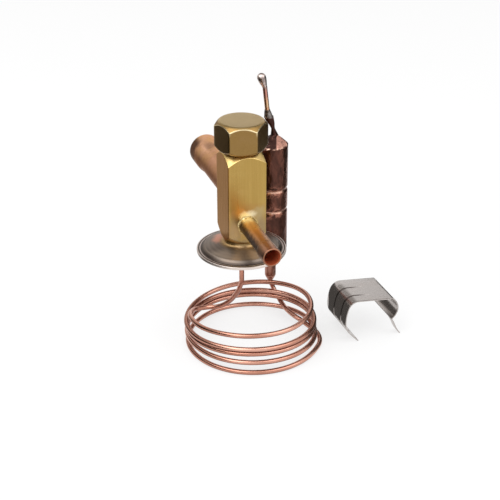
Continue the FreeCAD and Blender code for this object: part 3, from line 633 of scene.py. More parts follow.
def capillaryCopper():
    v = startMetal("capillaryCopper", brown=(172, 120, 100), rose=(198, 142, 122), pale=(222, 170, 150),
                   dark=(112, 62, 50))
    along = times(addNode("ShaderNodeAttribute", attribute_name="alongTube").outputs["Fac"], 1 / mm)
    quick = noiseAlong(along, 0.12)
    colour = ramp(noiseAlong(along, 0.02, 2.0), v, ("brown", 0.3), ("rose", 0.5), ("pale", 0.7))
    # painted shade on the underside
    colour = layered(colour, v, [("brown", spread(quick, 0.55, 0.8), 0.3),
                                 ("dark", spread(normalParts()[2], 0.1, -0.6), 0.8)])
    return finished(colour, spread(quick, 0.35, 0.65, 0.24, 0.3))


def chargingCopper():
    v = startMetal("chargingCopper", rose=(212, 160, 126), pale=(224, 188, 150), heated=(198, 140, 126),
                   grey=(150, 136, 132), silver=(210, 194, 188))
    z = parts(place())[2]
    clouds = noise(0.4, 3.0, 0.5, 0.4)
    colour = layered(blend(spread(clouds, 0.35, 0.65), v["rose"], v["pale"]), v,
                     [("heated", spread(z, 121.5, 126.0), 1)])
    melted = blend(spread(clouds, 0.4, 0.6), v["grey"], v["silver"])
    colour = blend(spread(z, 127.2, 130.6), colour, melted)
    return finished(colour, spread(clouds, 0.35, 0.65, 0.2, 0.34), clouds, 0.05)


def solder(name, **colours):
    v = startMetal(name, **colours)
    lumps = noise(0.7, 3.0, 0.5, 0.6)
    colour = ramp(lumps, v, ("dark", 0.3), ("middle", 0.5), ("bright", 0.68))
    return finished(colour, spread(lumps, 0.35, 0.65, 0.3, 0.46), lumps, 0.07)


def clipSteel():
    v = startMetal("clipSteel", grey=(186, 179, 175), pale=(194, 187, 183), warm=(190, 178, 172),
                   slit=(58, 42, 36))
    rolled = noise(1.8, stretch=(0.04, 1, 1), turn=-clipTurn)
    # painted shade along the creases above the slits, dark on the wall and fading over the top
    back = -(Matrix.Rotation(radians(-clipTurn), 3, "Z") @ clipNear)
    x, y, z = parts(place(turn=-clipTurn, shift=back))
    fade = times(spread(x, -12.0, -18.5), spread(z, 13.0, 14.5))
    layers = [("warm", spread(noise(0.12), 0.45, 0.7), 0.4)]
    for low, high in clipSlits:
        offset = maths("ABSOLUTE", minus(y, (low + high) / 2))
        layers.append(("slit", times(spread(offset, 0.75, 0.4), fade), 0.85))
    colour = layered(blend(spread(rolled, 0.35, 0.65), v["grey"], v["pale"]), v, layers)
    return finished(colour, spread(rolled, 0.3, 0.7, 0.22, 0.28), rolled, 0.004)


def turnedMetal(name, roughness, **colours):
    # inner turned pieces: fine rings round the valve's axis
    v = startMetal(name, **colours)
    rings = noiseAlong(plus(axisRadius(), parts(place())[2]), 4.0)
    return finished(blend(spread(rings, 0.35, 0.65), v["dark"], v["light"]), roughness, rings, 0.02)


def softSeal(name, roughness, **colours):
    # moulded sealing rings: no metal, a faint mottle
    v = startMetal(name, **colours)
    current["shader"]["Metallic"].default_value = 0.0
    mottle = noise(2.0, 4.0)
    return finished(blend(spread(mottle, 0.35, 0.65), v["dark"], v["light"]), roughness, mottle, 0.03)


finishes = {
    "bar_brass": barBrass(), "cap_brass": capBrass(), "inlet_copper": inletCopper(),
    "outlet_copper": outletCopper(), "head_steel": headSteel(), "bulb_copper": bulbCopper(),
    "capillary_copper": capillaryCopper(), "charging_copper": chargingCopper(),
    "joint_filler": solder("jointSolder", dark=(84, 76, 74), middle=(126, 118, 114), bright=(176, 170, 166)),
    "braze_filler": solder("brazeFiller", dark=(150, 126, 80), middle=(188, 162, 108), bright=(222, 200, 150)),
    "clip_steel": clipSteel(),
    "inner_steel": turnedMetal("innerSteel", 0.28, dark=(150, 150, 154), light=(190, 190, 194)),
    "spring_steel": turnedMetal("springSteel", 0.3, dark=(120, 122, 128), light=(166, 168, 174)),
    "inner_brass": turnedMetal("innerBrass", 0.26, dark=(186, 150, 84), light=(214, 182, 110)),
    "seal_white": softSeal("sealWhite", 0.5, dark=(222, 220, 212), light=(238, 236, 230)),
    "seal_black": softSeal("sealBlack", 0.6, dark=(22, 22, 24), light=(40, 40, 42)),
}
print("finishes made:", len(finishes))

nodeSlots = {subpart["node"]: subpart["material_slot"] for subpart in frame["record"]["subparts"]}
for name, slot in nodeSlots.items():
    node = frame["nodes"][name]
    node.data.materials.clear()
    node.data.materials.append(finishes[slot])
print("finishes given to the CAD nodes")


# Square bar body and hexagonal cap

def sideAngles(sides, turn, columns):
    # column angles, closer together near the corners
    angles = []
    for side in range(sides):
        for number in range(columns):
            share = 2 * number / columns - 1
            eased = 0.5 * share + 0.5 * sin(share * pi / 2)
            angles.append(turn - 90 + 360 * side / sides + eased * 180 / sides)
    return angles


def cutBack(reach, angle, sides, turn, distance, sharpness):
    # what flats leave of a section's reach at an angle, with softened edges between them
    total = reach ** -sharpness
    for side in range(sides):
        facing = cos(radians(angle - turn - 360 * side / sides))
        if facing > 0:
            total += (facing / distance) ** sharpness
    return total ** (-1 / sharpness)


def flatsRing(angles, sides, v, envelope, height):
    # section of a bar inside a turned envelope
    return [heading(angle) * cutBack(envelope, angle, sides, v["turn"] - 90, v["halfFlat"], v["edgeSharpness"])
            + raised(height) for angle in angles]


def coneRows(foot, top, count):
    # rows of envelope radius and height up a turned cone, from its foot to its top (r, z)
    return [Vector(foot).lerp(Vector(top), number / count) for number in range(count + 1)]


def bore(piece, columns, name, way, height, radius, start, end):
    # cuts a level round hole from the valve's axis outwards
    cutter = turnedSkin(name, [(0, start), (radius, start), (radius, end), (0, end)], columns)
    laidAlong(cutter, way, height)
    modifier = piece.modifiers.new(name, "BOOLEAN")
    modifier.operation = "DIFFERENCE"
    modifier.solver = "EXACT"
    modifier.object = cutter
    return cutter


bodyValues = {
    "halfFlat": halfFlat, "turn": barTurn, "edgeSharpness": 75, "columnsPerSide": 96, "coneRows": 36,
    "bottom": (9.1, 63.5), "bottomConeTop": 68.5, "topConeFoot": 106.6, "top": (9.4, 111.0),
    # outlines of (r, z, rounding): the spigot, and the neck down to the bottom of the bore
    "spigot": ((2.52, 60.2), (8.5, 60.2, 0.3), (8.5, 62.7), (9.1, 62.7, 0.15)),
    "neck": ((9.28, 111.0), (8.15, 111.0), (8.15, 120.5, 0.6), (6.9, 120.5, 0.3), (6.9, 109.0), (6.2, 109.0),
             (6.2, 81.8), (5.6, 81.8), (5.6, 78.5), (4.6, 78.5), (4.6, 70.0), (2.52, 70.0)),
    # holes across the bar: radius, start and end from the axis
    "portColumns": 96,
    "ports": (("inletSocket", inletWay, inletHeight, inletRadius, 7.0, 14.0),
              ("inletPort", inletWay, inletHeight, 3.65, 0.0, 7.5),
              ("outletSocket", outletWay, outletHeight, outletRadius, 8.0, 14.0),
              ("outletPort", outletWay, outletHeight, 5.0, 0.0, 8.5)),
    "thread": {"radius": 8.2, "turns": 5.2, "pitch": 1.5, "ridge": 0.52, "foot": 112.0, "steps": 48, "sides": 8},
}


def makeBody(v):
    angles = sideAngles(4, v["turn"], v["columnsPerSide"])
    corner = v["halfFlat"] * sqrt(2)
    rings = [roundRing(angles, r, z) for r, z in softened(v["spigot"], closed=False, steps=3)]
    for envelope, z in (coneRows(v["bottom"], (corner, v["bottomConeTop"]), v["coneRows"])
                        + coneRows((corner, v["topConeFoot"]), v["top"], v["coneRows"])):
        rings.append(flatsRing(angles, 4, v, envelope, z))
    rings += [roundRing(angles, r, z) for r, z in softened(v["neck"], closed=False, steps=3)]
    bar = ringSkin("barBody", rings, wrap=True)
    cutters = [bore(bar, v["portColumns"], *port) for port in v["ports"]]
    bar = plainMesh("barWithPorts", bar)
    for cutter in cutters:
        bpy.data.objects.remove(cutter)
    thread = threadRidge("neckThread", v["thread"], finishes["bar_brass"])
    settle(joined("valveBody", [bar, thread]), "valve_body")


makeBody(bodyValues)
print("body made")

capValues = {
    "halfFlat": 11.85, "turn": 5.5, "edgeSharpness": 64, "columnsPerSide": 64, "coneRows": 26,
    "bottom": (11.5, 112.4), "bottomChamfer": 1.95, "top": (11.2, 127.1, 1.1), "topChamfer": 2.65,
    "topMiddle": 6.0,
    # outline of (r, z, rounding) up inside the cap, from its lower face
    "recess": ((0, 124.9), (4.4, 124.9, 0.3), (4.4, 121.4), (9.4, 121.4), (9.4, 112.4, 0.5), (11.5, 112.4)),
    "thread": {"radius": 9.4, "turns": 4.2, "pitch": 1.5, "ridge": 0.5, "foot": 113.8, "steps": 48, "sides": 8},
}


def makeCap(v):
    angles = sideAngles(6, v["turn"], v["columnsPerSide"])
    corner = v["halfFlat"] / cos(pi / 6)
    top = v["top"][1]
    coneFoot = (corner, top - v["topChamfer"])
    rings = [roundRing(angles, r, z) for r, z in softened(v["recess"], closed=False, steps=3)]
    softEdge = softened([coneFoot, v["top"], (v["topMiddle"], top)], closed=False, steps=8)[1:-1]
    rows = coneRows(v["bottom"], (corner, v["bottom"][1] + v["bottomChamfer"]), v["coneRows"])[1:]
    rows += coneRows(coneFoot, softEdge[0], v["coneRows"]) + softEdge[1:]
    rings += [flatsRing(angles, 6, v, envelope, z) for envelope, z in rows]
    rings += [roundRing(angles, r, top) for r in (v["topMiddle"], 0)]
    hexagon = ringSkin("capShell", rings, wrap=False)
    thread = threadRidge("capThread", v["thread"], finishes["cap_brass"])
    settle(joined("sealCap", [hexagon, thread]), "seal_cap", "cap")


makeCap(capValues)
print("cap made")


# Tubes with belled ends, and their braze

tubeValues = {
    # outlines of (r, distance along, rounding); the outlet has a rolled bead
    "inlet": {"way": inletWay, "height": inletHeight, "outer": inletRadius, "outline": (
        (3.65, 7.0), (4.4, 7.0), (4.4, 37.3, 0.8), (4.75, 38.5, 0.8), (4.75, 47.4, 0.28), (4.0, 47.4, 0.28),
        (4.0, 38.5, 0.6), (3.65, 37.3, 0.6))},
    "outlet": {"way": outletWay, "height": outletHeight, "outer": outletRadius, "outline": (
        (7.05, 8.0), (7.95, 8.0), (7.95, 13.3, 0.4), (8.825, 14.5, 1.0), (7.95, 15.7, 0.4), (7.95, 46.5, 3.0),
        (8.85, 51.0, 3.0), (8.85, 64.0, 0.28), (8.0, 64.0, 0.28), (8.0, 51.0, 0.6), (7.05, 46.5, 0.6))},
}
# the braze's edge wanders by waves of (count, shift)
brazeValues = {"width": 0.9, "ripple": 0.16, "waves": ((3, 0.8), (7, 0.0)), "steps": 7, "columns": 120}


def makeTube(side, v):
    tube = turnedSkin(side + "Tube", softened(v["outline"]))
    laidAlong(tube, v["way"], v["height"])
    settle(tube, side + "_tube")


def makeBraze(side, tube, v):
    # hollow fillet whose edge wanders a little
    corners = [(0.0, 0.0), (1.0, 0.0)]
    for step in range(v["steps"] + 1):
        angle = pi / 2 * step / v["steps"]
        corners.append((1 - sin(angle), 1 - cos(angle)))
    rings = []
    for out, up in corners:
        ring = []
        for angle in evenAngles(v["columns"]):
            wander = sum(sin(radians(count * angle) + shift) for count, shift in v["waves"])
            reach = v["width"] * (1 + v["ripple"] * wander)
            ring.append(heading(angle) * (tube["outer"] + out * reach) + raised(halfFlat + up * reach))
        rings.append(ring)
    braze = ringSkin(side + "Braze", rings, wrap=True)
    laidAlong(braze, tube["way"], tube["height"])
    settle(braze, side + "_braze")


for side, values in tubeValues.items():
    makeTube(side, values)
for side, values in tubeValues.items():
    makeBraze(side, values, brazeValues)
print("tubes made")


# Sensing head: two pans that meet at the rim

headValues = {
    "columns": 192,
    "upper": ((23.2, 56.55), (23.2, 57.3, 0.35), (20.8, 57.3, 0.5), (19.3, 59.1, 0.8), (10.0, 61.5, 1.2),
              (9.2, 62.2, 0.3), (9.1, 62.7, 0.1), (8.5, 62.7), (8.5, 60.8), (9.9, 60.8, 1.0),
              (18.8, 58.35, 0.6), (20.2, 56.6)),
    "lower": ((23.2, 56.55), (20.2, 56.5), (18.8, 54.75, 0.6), (9.9, 52.3, 1.0), (1.3, 52.3), (1.3, 51.6),
              (10.0, 51.6, 1.2), (19.3, 54.0, 0.8), (20.8, 55.8, 0.5), (23.2, 55.8, 0.35)),
}
for name, level in (("headUpperPan", "upper"), ("headLowerPan", "lower")):
    settle(turnedSkin(name, softened(headValues[level]), headValues["columns"]), f"head_{level}_case")
print("head made")


# Sensing bulb with rolled grooves, crimped top and leaning neck

bulbValues = {
    "radius": 8.95, "columns": 160,
    # outline of (r, z, rounding) from the foot up to the crimp, and the inner wall down from the crown
    "outside": ((1.3, 28.6), (1.3, bulbFoot), (1.6, bulbFoot, 0.2), (3.1, 19.0, 0.8), (3.1, 27.6, 1.0),
                (7.2, 30.4, 3.2), (8.95, 35.2, 2.5), (8.95, 59.7, 0.5), (8.04, 61.0, 0.7), (8.95, 62.3, 0.5),
                (8.95, 71.8, 0.5), (8.04, 73.1, 0.7), (8.95, 74.4, 0.5), (8.95, 96.8)),
    "inside": ((0, 97.4), (6.45, 97.4), (7.95, 96.4), (7.95, 35.2), (1.3, 28.6)),
    "crimpLength": 4.7, "crimpRadius": 2.45, "crimpOffset": 1.55, "crimpRows": 22, "rowsBelow": 6,
    "facetTurn": -35.0, "facetSlope": 40.0, "facetDistance": 8.1, "facetSharpness": 40.0, "facetEnd": 0.9,
    # the pinched neck above the crown: rise, half width, half depth and offset to the side
    "neck": ((0.4, 2.1, 2.1, 1.55), (1.6, 1.7, 1.67, 1.3), (2.8, 1.3, 1.45, 1.05), (4.1, 1.0, 1.25, 0.75),
             (5.3, 1.25, 1.15, 0.35), (6.6, 1.65, 1.1, -0.05), (7.9, 2.05, 1.1, -0.6), (9.2, 2.4, 1.1, -1.15),
             (10.4, 2.45, 1.1, -1.45), (11.2, 2.3, 1.0, -1.5)),
}


def crimpRing(angles, radius, offset, height, facet, v):
    # round section off the axis, cut by the crimping jaws' flats
    ring = []
    for angle in angles:
        turn = radians(angle)
        reach = offset * cos(turn) + sqrt(radius ** 2 - (offset * sin(turn)) ** 2)
        if facet > v["crimpRadius"] * v["facetEnd"]:
            reach = cutBack(reach, angle, 4, v["facetTurn"], facet, v["facetSharpness"])
        ring.append(heading(angle) * reach + raised(height))
    return ring


def makeBulb(v):
    angles = evenAngles(v["columns"])
    rings = [roundRing(angles, r, z) for r, z in softened(v["outside"], closed=False, steps=6)[1:]]
    slope = 1 / tan(radians(v["facetSlope"]))
    for number in range(-v["rowsBelow"], v["crimpRows"] + 1):
        rise = v["crimpLength"] * number / v["crimpRows"]
        share = max(0, number) / v["crimpRows"]
        radius = v["radius"] + (v["crimpRadius"] - v["radius"]) * share
        rings.append(crimpRing(angles, radius, v["crimpOffset"] * share, bulbTop + rise,
                               v["facetDistance"] - rise * slope, v))
    # the neck leans back over the bulb's axis and spreads to a flat
    for rise, halfWidth, halfDepth, offset in v["neck"]:
        middle = Vector((offset, 0, bulbTop + v["crimpLength"] + rise))
        oval = Matrix.Diagonal((halfWidth, halfDepth, 1))
        rings.append([middle + oval @ heading(angle) for angle in angles])
    rings.append([middle])
    hollow = [roundRing(angles, r, z) for r, z in v["inside"]]
    shell = ringSkin("bulbShell", hollow + rings, wrap=False)
    shell.data.transform(Matrix.Translation(Vector((bulbX, bulbY, 0)) * mm))
    settle(shell, "bulb_shell", sharpAngle=30)


makeBulb(bulbValues)
print("bulb made")


# Charging tube with its fused drop, and the solder joint under it

chargingValues = {
    "offset": -2.0, "foot": 114.1, "length": 15.5, "lean": 6.3, "dropLean": 18.0, "columns": 40,
    # rows of (distance, radius) along the straight tube and along the drop, which ends in half a ball
    "straight": ((0, 0), (0, 1.125), (0.2, 1.25), (3.1, 1.25), (6.2, 1.25), (9.3, 1.25), (12.4, 1.25),
                 (14.26, 1.25)),
    "drop": ((0.0, 1.3), (1.2, 1.45), (3.0, 1.98), (4.4, 2.24), (5.65, 2.35)), "bend": 2.0, "ballSteps": 8,
}
jointValues = {
    "foot": 112.7, "height": 4.6, "columns": 64, "rows": 16, "easing": 0.85, "softEnd": 0.93,
    # half width, half depth and offset at the foot and at the top
    "footSize": Vector((2.6, 1.5, -1.6)), "topSize": Vector((1.5, 1.5, -2.3)),
    # lumps round the skirt: size, count and twist from foot to top
    "lumps": ((0.03, 3, 5), (0.02, 8, -9)),
}


def makeChargingTube(v):
    foot = Vector((bulbX + v["offset"], bulbY, v["foot"]))
    straight, last = wayAt(90 + v["lean"]), wayAt(90 + v["dropLean"])
    tip = foot + straight * v["length"]
    stations = [(foot + straight * rise, straight, radius) for rise, radius in v["straight"]]
    for rise, radius in v["drop"]:
        way = straight.lerp(last, min(1, rise / v["bend"])).normalized()
        stations.append((tip + last * rise, way, radius))
    for step in range(1, v["ballSteps"] + 1):
        angle = pi / 2 * step / v["ballSteps"]
        ball = 0 if step == v["ballSteps"] else radius * cos(angle)
        stations.append((tip + last * (rise + radius * sin(angle)), last, ball))
    settle(sweptSkin("chargingTube", stations, v["columns"]), "charging_tube", sharpAngle=50)


def makeJoint(v):
    # flattened skirt of solder that narrows to the charging tube
    middle = Vector((bulbX, bulbY, v["foot"]))
    rings = [[middle + Vector((v["footSize"].z, 0, 0))]]
    for row in range(v["rows"] + 1):
        share = row / v["rows"]
        halfWidth, halfDepth, offset = v["footSize"].lerp(v["topSize"], share ** v["easing"])
        soft = v["softEnd"] if row in (0, v["rows"]) else 1.0
        ring = []
        for number in range(v["columns"]):
            angle = 2 * pi * number / v["columns"]
            lump = soft + soft * sum(size * sin(count * angle + twist * share)
                                     for size, count, twist in v["lumps"])
            ring.append(middle + Vector((offset + halfWidth * lump * cos(angle),
                                         halfDepth * lump * sin(angle), v["height"] * share)))
        rings.append(ring)
    rings.append([middle + Vector((offset, 0, v["height"]))])
    settle(ringSkin("fishtailJoint", rings, wrap=False), "fishtail_joint", sharpAngle=50)


makeChargingTube(chargingValues)
makeJoint(jointValues)
print("charging tube made")


# Capillary: route of the coil and its leads, swept by Geometry Nodes

capillaryValues = {
    "radius": 1.3, "centre": (5.5, 3.0), "stepsPerTurn": 12, "spacing": 0.75, "sides": 40,
    # rise and radius of each turn where it passes the right, front, left and back
    "rises": ((0.5, 0.0, 0.0, 0.5), (3.9, 6.0, 6.0, 6.8), (9.2, 11.0, 8.9, 9.8), (12.1, 13.7, 11.7, 15.4),
              (20.6, 21.2, 15.6)),
    "radii": ((36.2, 35.4, 34.6, 35.0), (33.9, 35.4, 35.0, 34.8), (33.2, 35.2, 34.6, 34.6),
              (33.2, 35.4, 35.2, 33.6), (31.4, 34.4, 32.6)),
    "bulbLead": ((1.6, -0.1, 11.0), (5.8, -7.2, 5.85), (11.8, -20.0, 4.8), (18.4, -25.4, 2.6)),
    "headLead": ((-27.1, 3.0, 16.9), (-24.6, 9.2, 15.1), (-19.1, 11.2, 14.9), (-12.5, 9.8, 16.4),
                 (-7.2, 6.6, 21.0), (-3.4, 3.2, 27.2), (-0.9, 0.9, 33.4)),
    # heights of the straight ends in the bulb and in the head
    "inBulb": 23.3, "inHead": (38.5, 45.5, 52.8),
}


def evenSlope(before, after):
    return 2 * before * after / (before + after) if before * after > 0 else 0


def passedValue(rows, turn):
    # value at any turn count, eased between the four passes of each row
    flat = [value for row in rows for value in row]
    steps = [after - before for before, after in zip(flat, flat[1:])]
    number = min(int(turn * 4), len(steps) - 1)
    share = turn * 4 - number
    slopeStart = evenSlope(steps[max(number - 1, 0)], steps[number])
    slopeEnd = evenSlope(steps[number], steps[min(number + 1, len(steps) - 1)])
    square, cube = share ** 2, share ** 3
    return ((2 * cube - 3 * square + 1) * flat[number] + (cube - 2 * square + share) * slopeStart
            + (3 * square - 2 * cube) * flat[number + 1] + (cube - square) * slopeEnd)


def capillaryRoute(v):
    points = [Vector((bulbX, bulbY, bulbFoot))]
    points += [Vector((bulbX + x, bulbY + y, height)) for x, y, height in v["bulbLead"]]
    centre = Vector((*v["centre"], v["radius"]))
    for step in range(round((len(v["rises"]) - 0.5) * v["stepsPerTurn"])):
        turn = step / v["stepsPerTurn"]
        spot = heading(-360 * turn) * passedValue(v["radii"], turn)
        points.append(centre + spot + raised(passedValue(v["rises"], turn)))
    points += [Vector(spot) for spot in v["headLead"]] + [raised(v["inHead"][0])]
    ways = [raised(-1)] + [None] * (len(points) - 2) + [raised(1)]
    route = [Vector((bulbX, bulbY, v["inBulb"]))] + smoothPath(points, ways, v["spacing"])
    return route + [raised(height) for height in v["inHead"][1:]]


def makeCapillary(v):
    tube = sweptTube("capillaryTube", capillaryRoute(v), v["radius"], v["sides"], finishes["capillary_copper"])
    settle(tube, "capillary_tube", sharpAngle=50)


makeCapillary(capillaryValues)
print("capillary made")

# flanged sleeve that carries the capillary in the head
ferruleValues = {"columns": 96, "outline": (
    (1.3, 51.6), (3.6, 51.6), (3.6, 50.8, 0.3), (2.1, 50.8, 0.4), (2.1, 47.2, 0.4), (1.3, 47.2))}
settle(turnedSkin("capillaryFerrule", softened(ferruleValues["outline"]), ferruleValues["columns"]),
       "capillary_ferrule")
print("ferrule made")


# Strap clip: a bent sheet with long slits, a curled lip and a tongue

clipValues = {
    "width": 25.0, "lines": (0.0, 3.0, 11.0, 20.0), "sheet": 0.6, "spacing": 0.5, "edge": 0.12, "edgeAngle": 50,
    "top": 22.6, "topRise": 1.6, "topLength": 16.5, "curl": 6.5, "bendReach": 3.4, "bendFall": -40.0,
    "curlEnd": (-0.2, 10.1), "foot": 19.0, "belly": 26.6, "bellyHeight": 12.4, "tongueWidth": 4.0,
    "tongueReach": 5.4,
    # slits get narrower from the foot to the head; the hole is near, far, low and high
    "slitTop": 14.5, "slitBottom": 3.0, "slitFoot": 3.0, "slitHead": 0.4, "footHole": (0.8, 2.6, 0.9, 3.2),
    "ribFoot": 23.0, "ribRadius": 0.16, "ribReach": 13.0, "ribSides": 10, "ribSunk": 0.05,
}


def sheetFrom(name, path, lines, v, isOpen=lambda spot, across: False, widen=lambda spot, across: across):
    # grid of a bent sheet, with the cells that a test calls open left out, thickened outwards;
    # widen moves a line sideways where the sheet passes a spot
    build = bmesh.new()
    grid = [[build.verts.new((spot + Vector((0, widen(spot, across), 0))) * mm) for across in lines]
            for spot in path]
    for row in range(len(path) - 1):
        for column in range(len(lines) - 1):
            middle = (path[row] + path[row + 1]) / 2
            if not isOpen(middle, (lines[column] + lines[column + 1]) / 2):
                build.faces.new((grid[row][column], grid[row + 1][column], grid[row + 1][column + 1],
                                 grid[row][column + 1]))
    loose = [vertex for vertex in build.verts if not vertex.link_faces]
    bmesh.ops.delete(build, geom=loose, context="VERTS")
    sheet = fromBuild(name + "Sheet", build)
    thick = sheet.modifiers.new("sheet", "SOLIDIFY")
    thick.thickness = v["sheet"] * mm
    thick.offset = 1
    edge = sheet.modifiers.new("edge", "BEVEL")
    edge.width = v["edge"] * mm
    edge.segments = 2
    edge.limit_method = "ANGLE"
    edge.angle_limit = radians(v["edgeAngle"])
    return plainMesh(name, sheet)


def makeClip(v):
    curlMiddle = -v["curl"] / 2
    slope = v["topRise"] / v["topLength"]
    fall = -degrees(atan(slope))
    bend = (curlMiddle + v["bendReach"], v["top"] - v["bendReach"] * slope)

    def bentPath(*places):
        # each place is its distance along, its height and the angle of the sheet there
        return smoothPath([Vector((along, 0, height)) for along, height, angle in places],
                          [wayAt(angle) for along, height, angle in places], v["spacing"])

    saddle = bentPath((-v["foot"], v["sheet"] * sqrt(0.5), 135), (-v["belly"], v["bellyHeight"], 90),
                      (curlMiddle - v["topLength"], v["top"] + v["topRise"], fall), (*bend, fall))
    saddle += bentPath((*bend, v["bendFall"]), (curlMiddle + v["curl"], v["top"] - v["curl"], -90),
                       (*v["curlEnd"], -150))[1:]
    tongue = bentPath((*v["curlEnd"], -62), (v["tongueReach"], 0, -50))
    holeNear, holeFar, holeLow, holeHigh = v["footHole"]
    slitSides = [side for slit in clipSlits for side in slit]
    lines = sorted({*v["lines"], v["width"], holeNear, holeFar, *slitSides})

    def inSlot(spot, across):
        inSlit = v["slitBottom"] < spot.z < v["slitTop"] and any(low < across < high for low, high in clipSlits)
        inHole = holeLow < spot.z < holeHigh and holeNear < across < holeFar
        return spot.x < -v["foot"] and (inSlit or inHole)

    def openedSlit(spot, across):
        for low, high in clipSlits:
            if across in (low, high) and spot.x < -v["foot"]:
                share = min(1, max(0, spot.z / v["slitTop"]))
                middle = (low + high) / 2
                return middle + (across - middle) * (v["slitFoot"] + (v["slitHead"] - v["slitFoot"]) * share)
        return across

    pieces = [sheetFrom("clipSaddle", saddle, lines, v, inSlot, openedSlit),
              sheetFrom("clipTongue", tongue, [0.0, v["tongueWidth"] / 2, v["tongueWidth"]], v)]
    # pressed ribs run on from the slits over the top
    ribStart = next(number for number, spot in enumerate(saddle) if spot.z > v["ribFoot"])
    for number, (low, high) in enumerate(clipSlits):
        line = []
        for spot, following in zip(saddle[ribStart:], saddle[ribStart + 1:]):
            way = (following - spot).normalized()
            outwards = Vector((-way.z, 0, way.x))
            line.append(spot + Vector((0, (low + high) / 2, 0)) + outwards * (v["sheet"] - v["ribSunk"]))
            if (line[-1] - line[0]).length > v["ribReach"]:
                break
        pieces.append(sweptTube(f"clipRib{number}", line, v["ribRadius"], v["ribSides"], finishes["clip_steel"]))
    clip = joined("bulbClip", pieces)
    clip.data.transform(Matrix.Rotation(radians(clipTurn), 4, "Z"))
    clip.data.transform(Matrix.Translation(clipNear * mm))
    settle(clip, "bulb_clip", sharpAngle=40)


makeClip(clipValues)
print("clip made")


# Floor, light and camera

stageValues = {
    "floorHalf": 3.0, "floorTones": (0.96, 0.98), "floorRoughness": 0.9, "floorWhite": 0.72, "worldFill": 0.72,
    # place, size and power of the soft boxes, and what they face
    "lamps": (((-0.55, -0.5, 0.95), 1.1, 8.0), ((0.65, -0.35, 0.9), 0.9, 3.0)), "lampTarget": (0, 0, 0.06),
    # cards that only polished metal sees, as a photographer's black or grey flags: corners and level
    "flags": {
        "leftDarkFlag": (((-0.085, -0.16, 0.0006), (-0.085, 0.065, 0.0006), (-0.25, 0.065, 0.246),
                          (-0.25, -0.26, 0.246)), 0.04),
        "leftGreyFlag": (((-0.085, 0.065, 0.0006), (-0.085, 0.5, 0.0006), (-0.25, 0.6, 0.246),
                          (-0.25, 0.065, 0.246)), 0.6),
        "rightFlag": (((0.1, 0.03, 0.036), (0.1, 0.4, 0.036), (0.2, 0.5, 0.2), (0.2, 0.02, 0.2)), 0.03),
        "curlFlag": (((0.1, 0.0, 0.0006), (0.1, 0.12, 0.0006), (0.1, 0.12, 0.034), (0.1, 0.0, 0.034)), 0.08),
        "clipFlag": (
            ((0.0475, -0.01, 0.0006), (0.0475, 0.09, 0.0006), (0.0475, 0.09, 0.026), (0.0475, -0.01, 0.026)), 0.1),
        "ceilingFlag": (((-0.5, 0.25, 0.75), (0.5, 0.25, 0.75), (0.5, 0.75, 0.55), (-0.5, 0.75, 0.55)), 0.3),
    },
    "flagTint": (1.0, 0.95, 0.9),
}
cameraValues = {"target": (4.36, 0, 55.5), "distance": 600.0, "elevation": 27.0, "focal": 83.4, "sensor": 36}


def seenRays():
    # one for what the camera, polished metal or glass sees, nought for what lights the object
    rays = addNode("ShaderNodeLightPath").outputs
    seen = maths("MAXIMUM", rays["Is Camera Ray"], rays["Is Glossy Ray"])
    return maths("MAXIMUM", seen, rays["Is Transmission Ray"])


def makeCard(name, corners):
    # one four-sided face with a material of its own, whose nodes come next
    mesh = bpy.data.meshes.new(name)
    mesh.from_pydata(corners, [], [(0, 1, 2, 3)])
    material = bpy.data.materials.new(name)
    material.use_nodes = True
    mesh.materials.append(material)
    current["tree"] = material.node_tree
    return newObject(name, mesh)


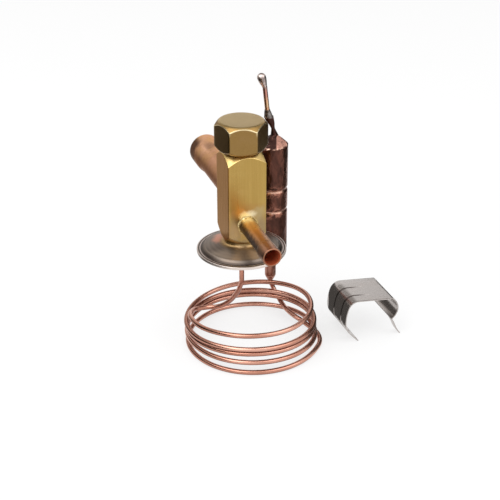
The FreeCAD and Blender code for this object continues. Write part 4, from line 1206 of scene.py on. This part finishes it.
def makeFloor(v):
    half = v["floorHalf"]
    floor = makeCard("studioFloor", [(-half, -half, 0), (half, -half, 0), (half, half, 0), (-half, half, 0)])
    nodes = current["tree"].nodes
    shader = nodes["Principled BSDF"]
    shader.inputs["Roughness"].default_value = v["floorRoughness"]
    shader.inputs["Specular IOR Level"].default_value = 0.0
    pale, paler = [(level, level, level, 1) for level in v["floorTones"]]
    plug(blend(noise(0.01, 2.0), pale, paler), shader.inputs["Base Color"])
    # part of what the camera sees is plain white, so that only a soft shadow is left
    white = addNode("ShaderNodeEmission")
    mixed = addNode("ShaderNodeMixShader", i0=times(seenRays(), v["floorWhite"]), i1=shader.outputs[0],
                    i2=white.outputs[0])
    plug(mixed.outputs[0], nodes["Material Output"].inputs["Surface"])


def makeFlag(name, corners, level, tint):
    card = makeCard(name, corners)
    current["tree"].nodes.clear()
    glow = addNode("ShaderNodeEmission", {"Color": (*(level * share for share in tint), 1)})
    addNode("ShaderNodeOutputMaterial", {"Surface": glow.outputs[0]})
    card.visible_camera = False
    card.visible_diffuse = False
    card.visible_shadow = False
    card.visible_transmission = False


def makeLight(v):
    world = bpy.data.worlds.new("studio")
    bpy.context.scene.world = world
    world.use_nodes = True
    current["tree"] = world.node_tree
    back = world.node_tree.nodes["Background"].inputs
    plug(spread(seenRays(), 0.0, 1.0, v["worldFill"], 1.0, smooth=False), back["Strength"])
    back["Color"].default_value = (1, 1, 1, 1)
    for number, (spot, size, power) in enumerate(v["lamps"]):
        lamp = bpy.data.lights.new(f"softBox{number}", "AREA")
        lamp.size = size
        lamp.energy = power
        box = newObject(f"softBox{number}", lamp)
        box.location = spot
        aim = Vector(v["lampTarget"]) - Vector(spot)
        box.rotation_euler = aim.to_track_quat("-Z", "Y").to_euler()


def makeCamera(v):
    camera = bpy.data.cameras.new("photoCamera")
    camera.lens = v["focal"]
    camera.sensor_width = v["sensor"]
    holder = newObject("photoCamera", camera)
    tilt = radians(v["elevation"])
    target = Vector(v["target"]) * mm
    holder.location = target + Vector((0, -cos(tilt), sin(tilt))) * v["distance"] * mm
    holder.rotation_euler = (target - holder.location).to_track_quat("-Z", "Y").to_euler()
    bpy.context.scene.camera = holder


makeFloor(stageValues)
for name, (corners, level) in stageValues["flags"].items():
    makeFlag(name, corners, level, stageValues["flagTint"])
makeLight(stageValues)
makeCamera(cameraValues)
bpy.context.scene.view_settings.view_transform = "Standard"
print("stage made")
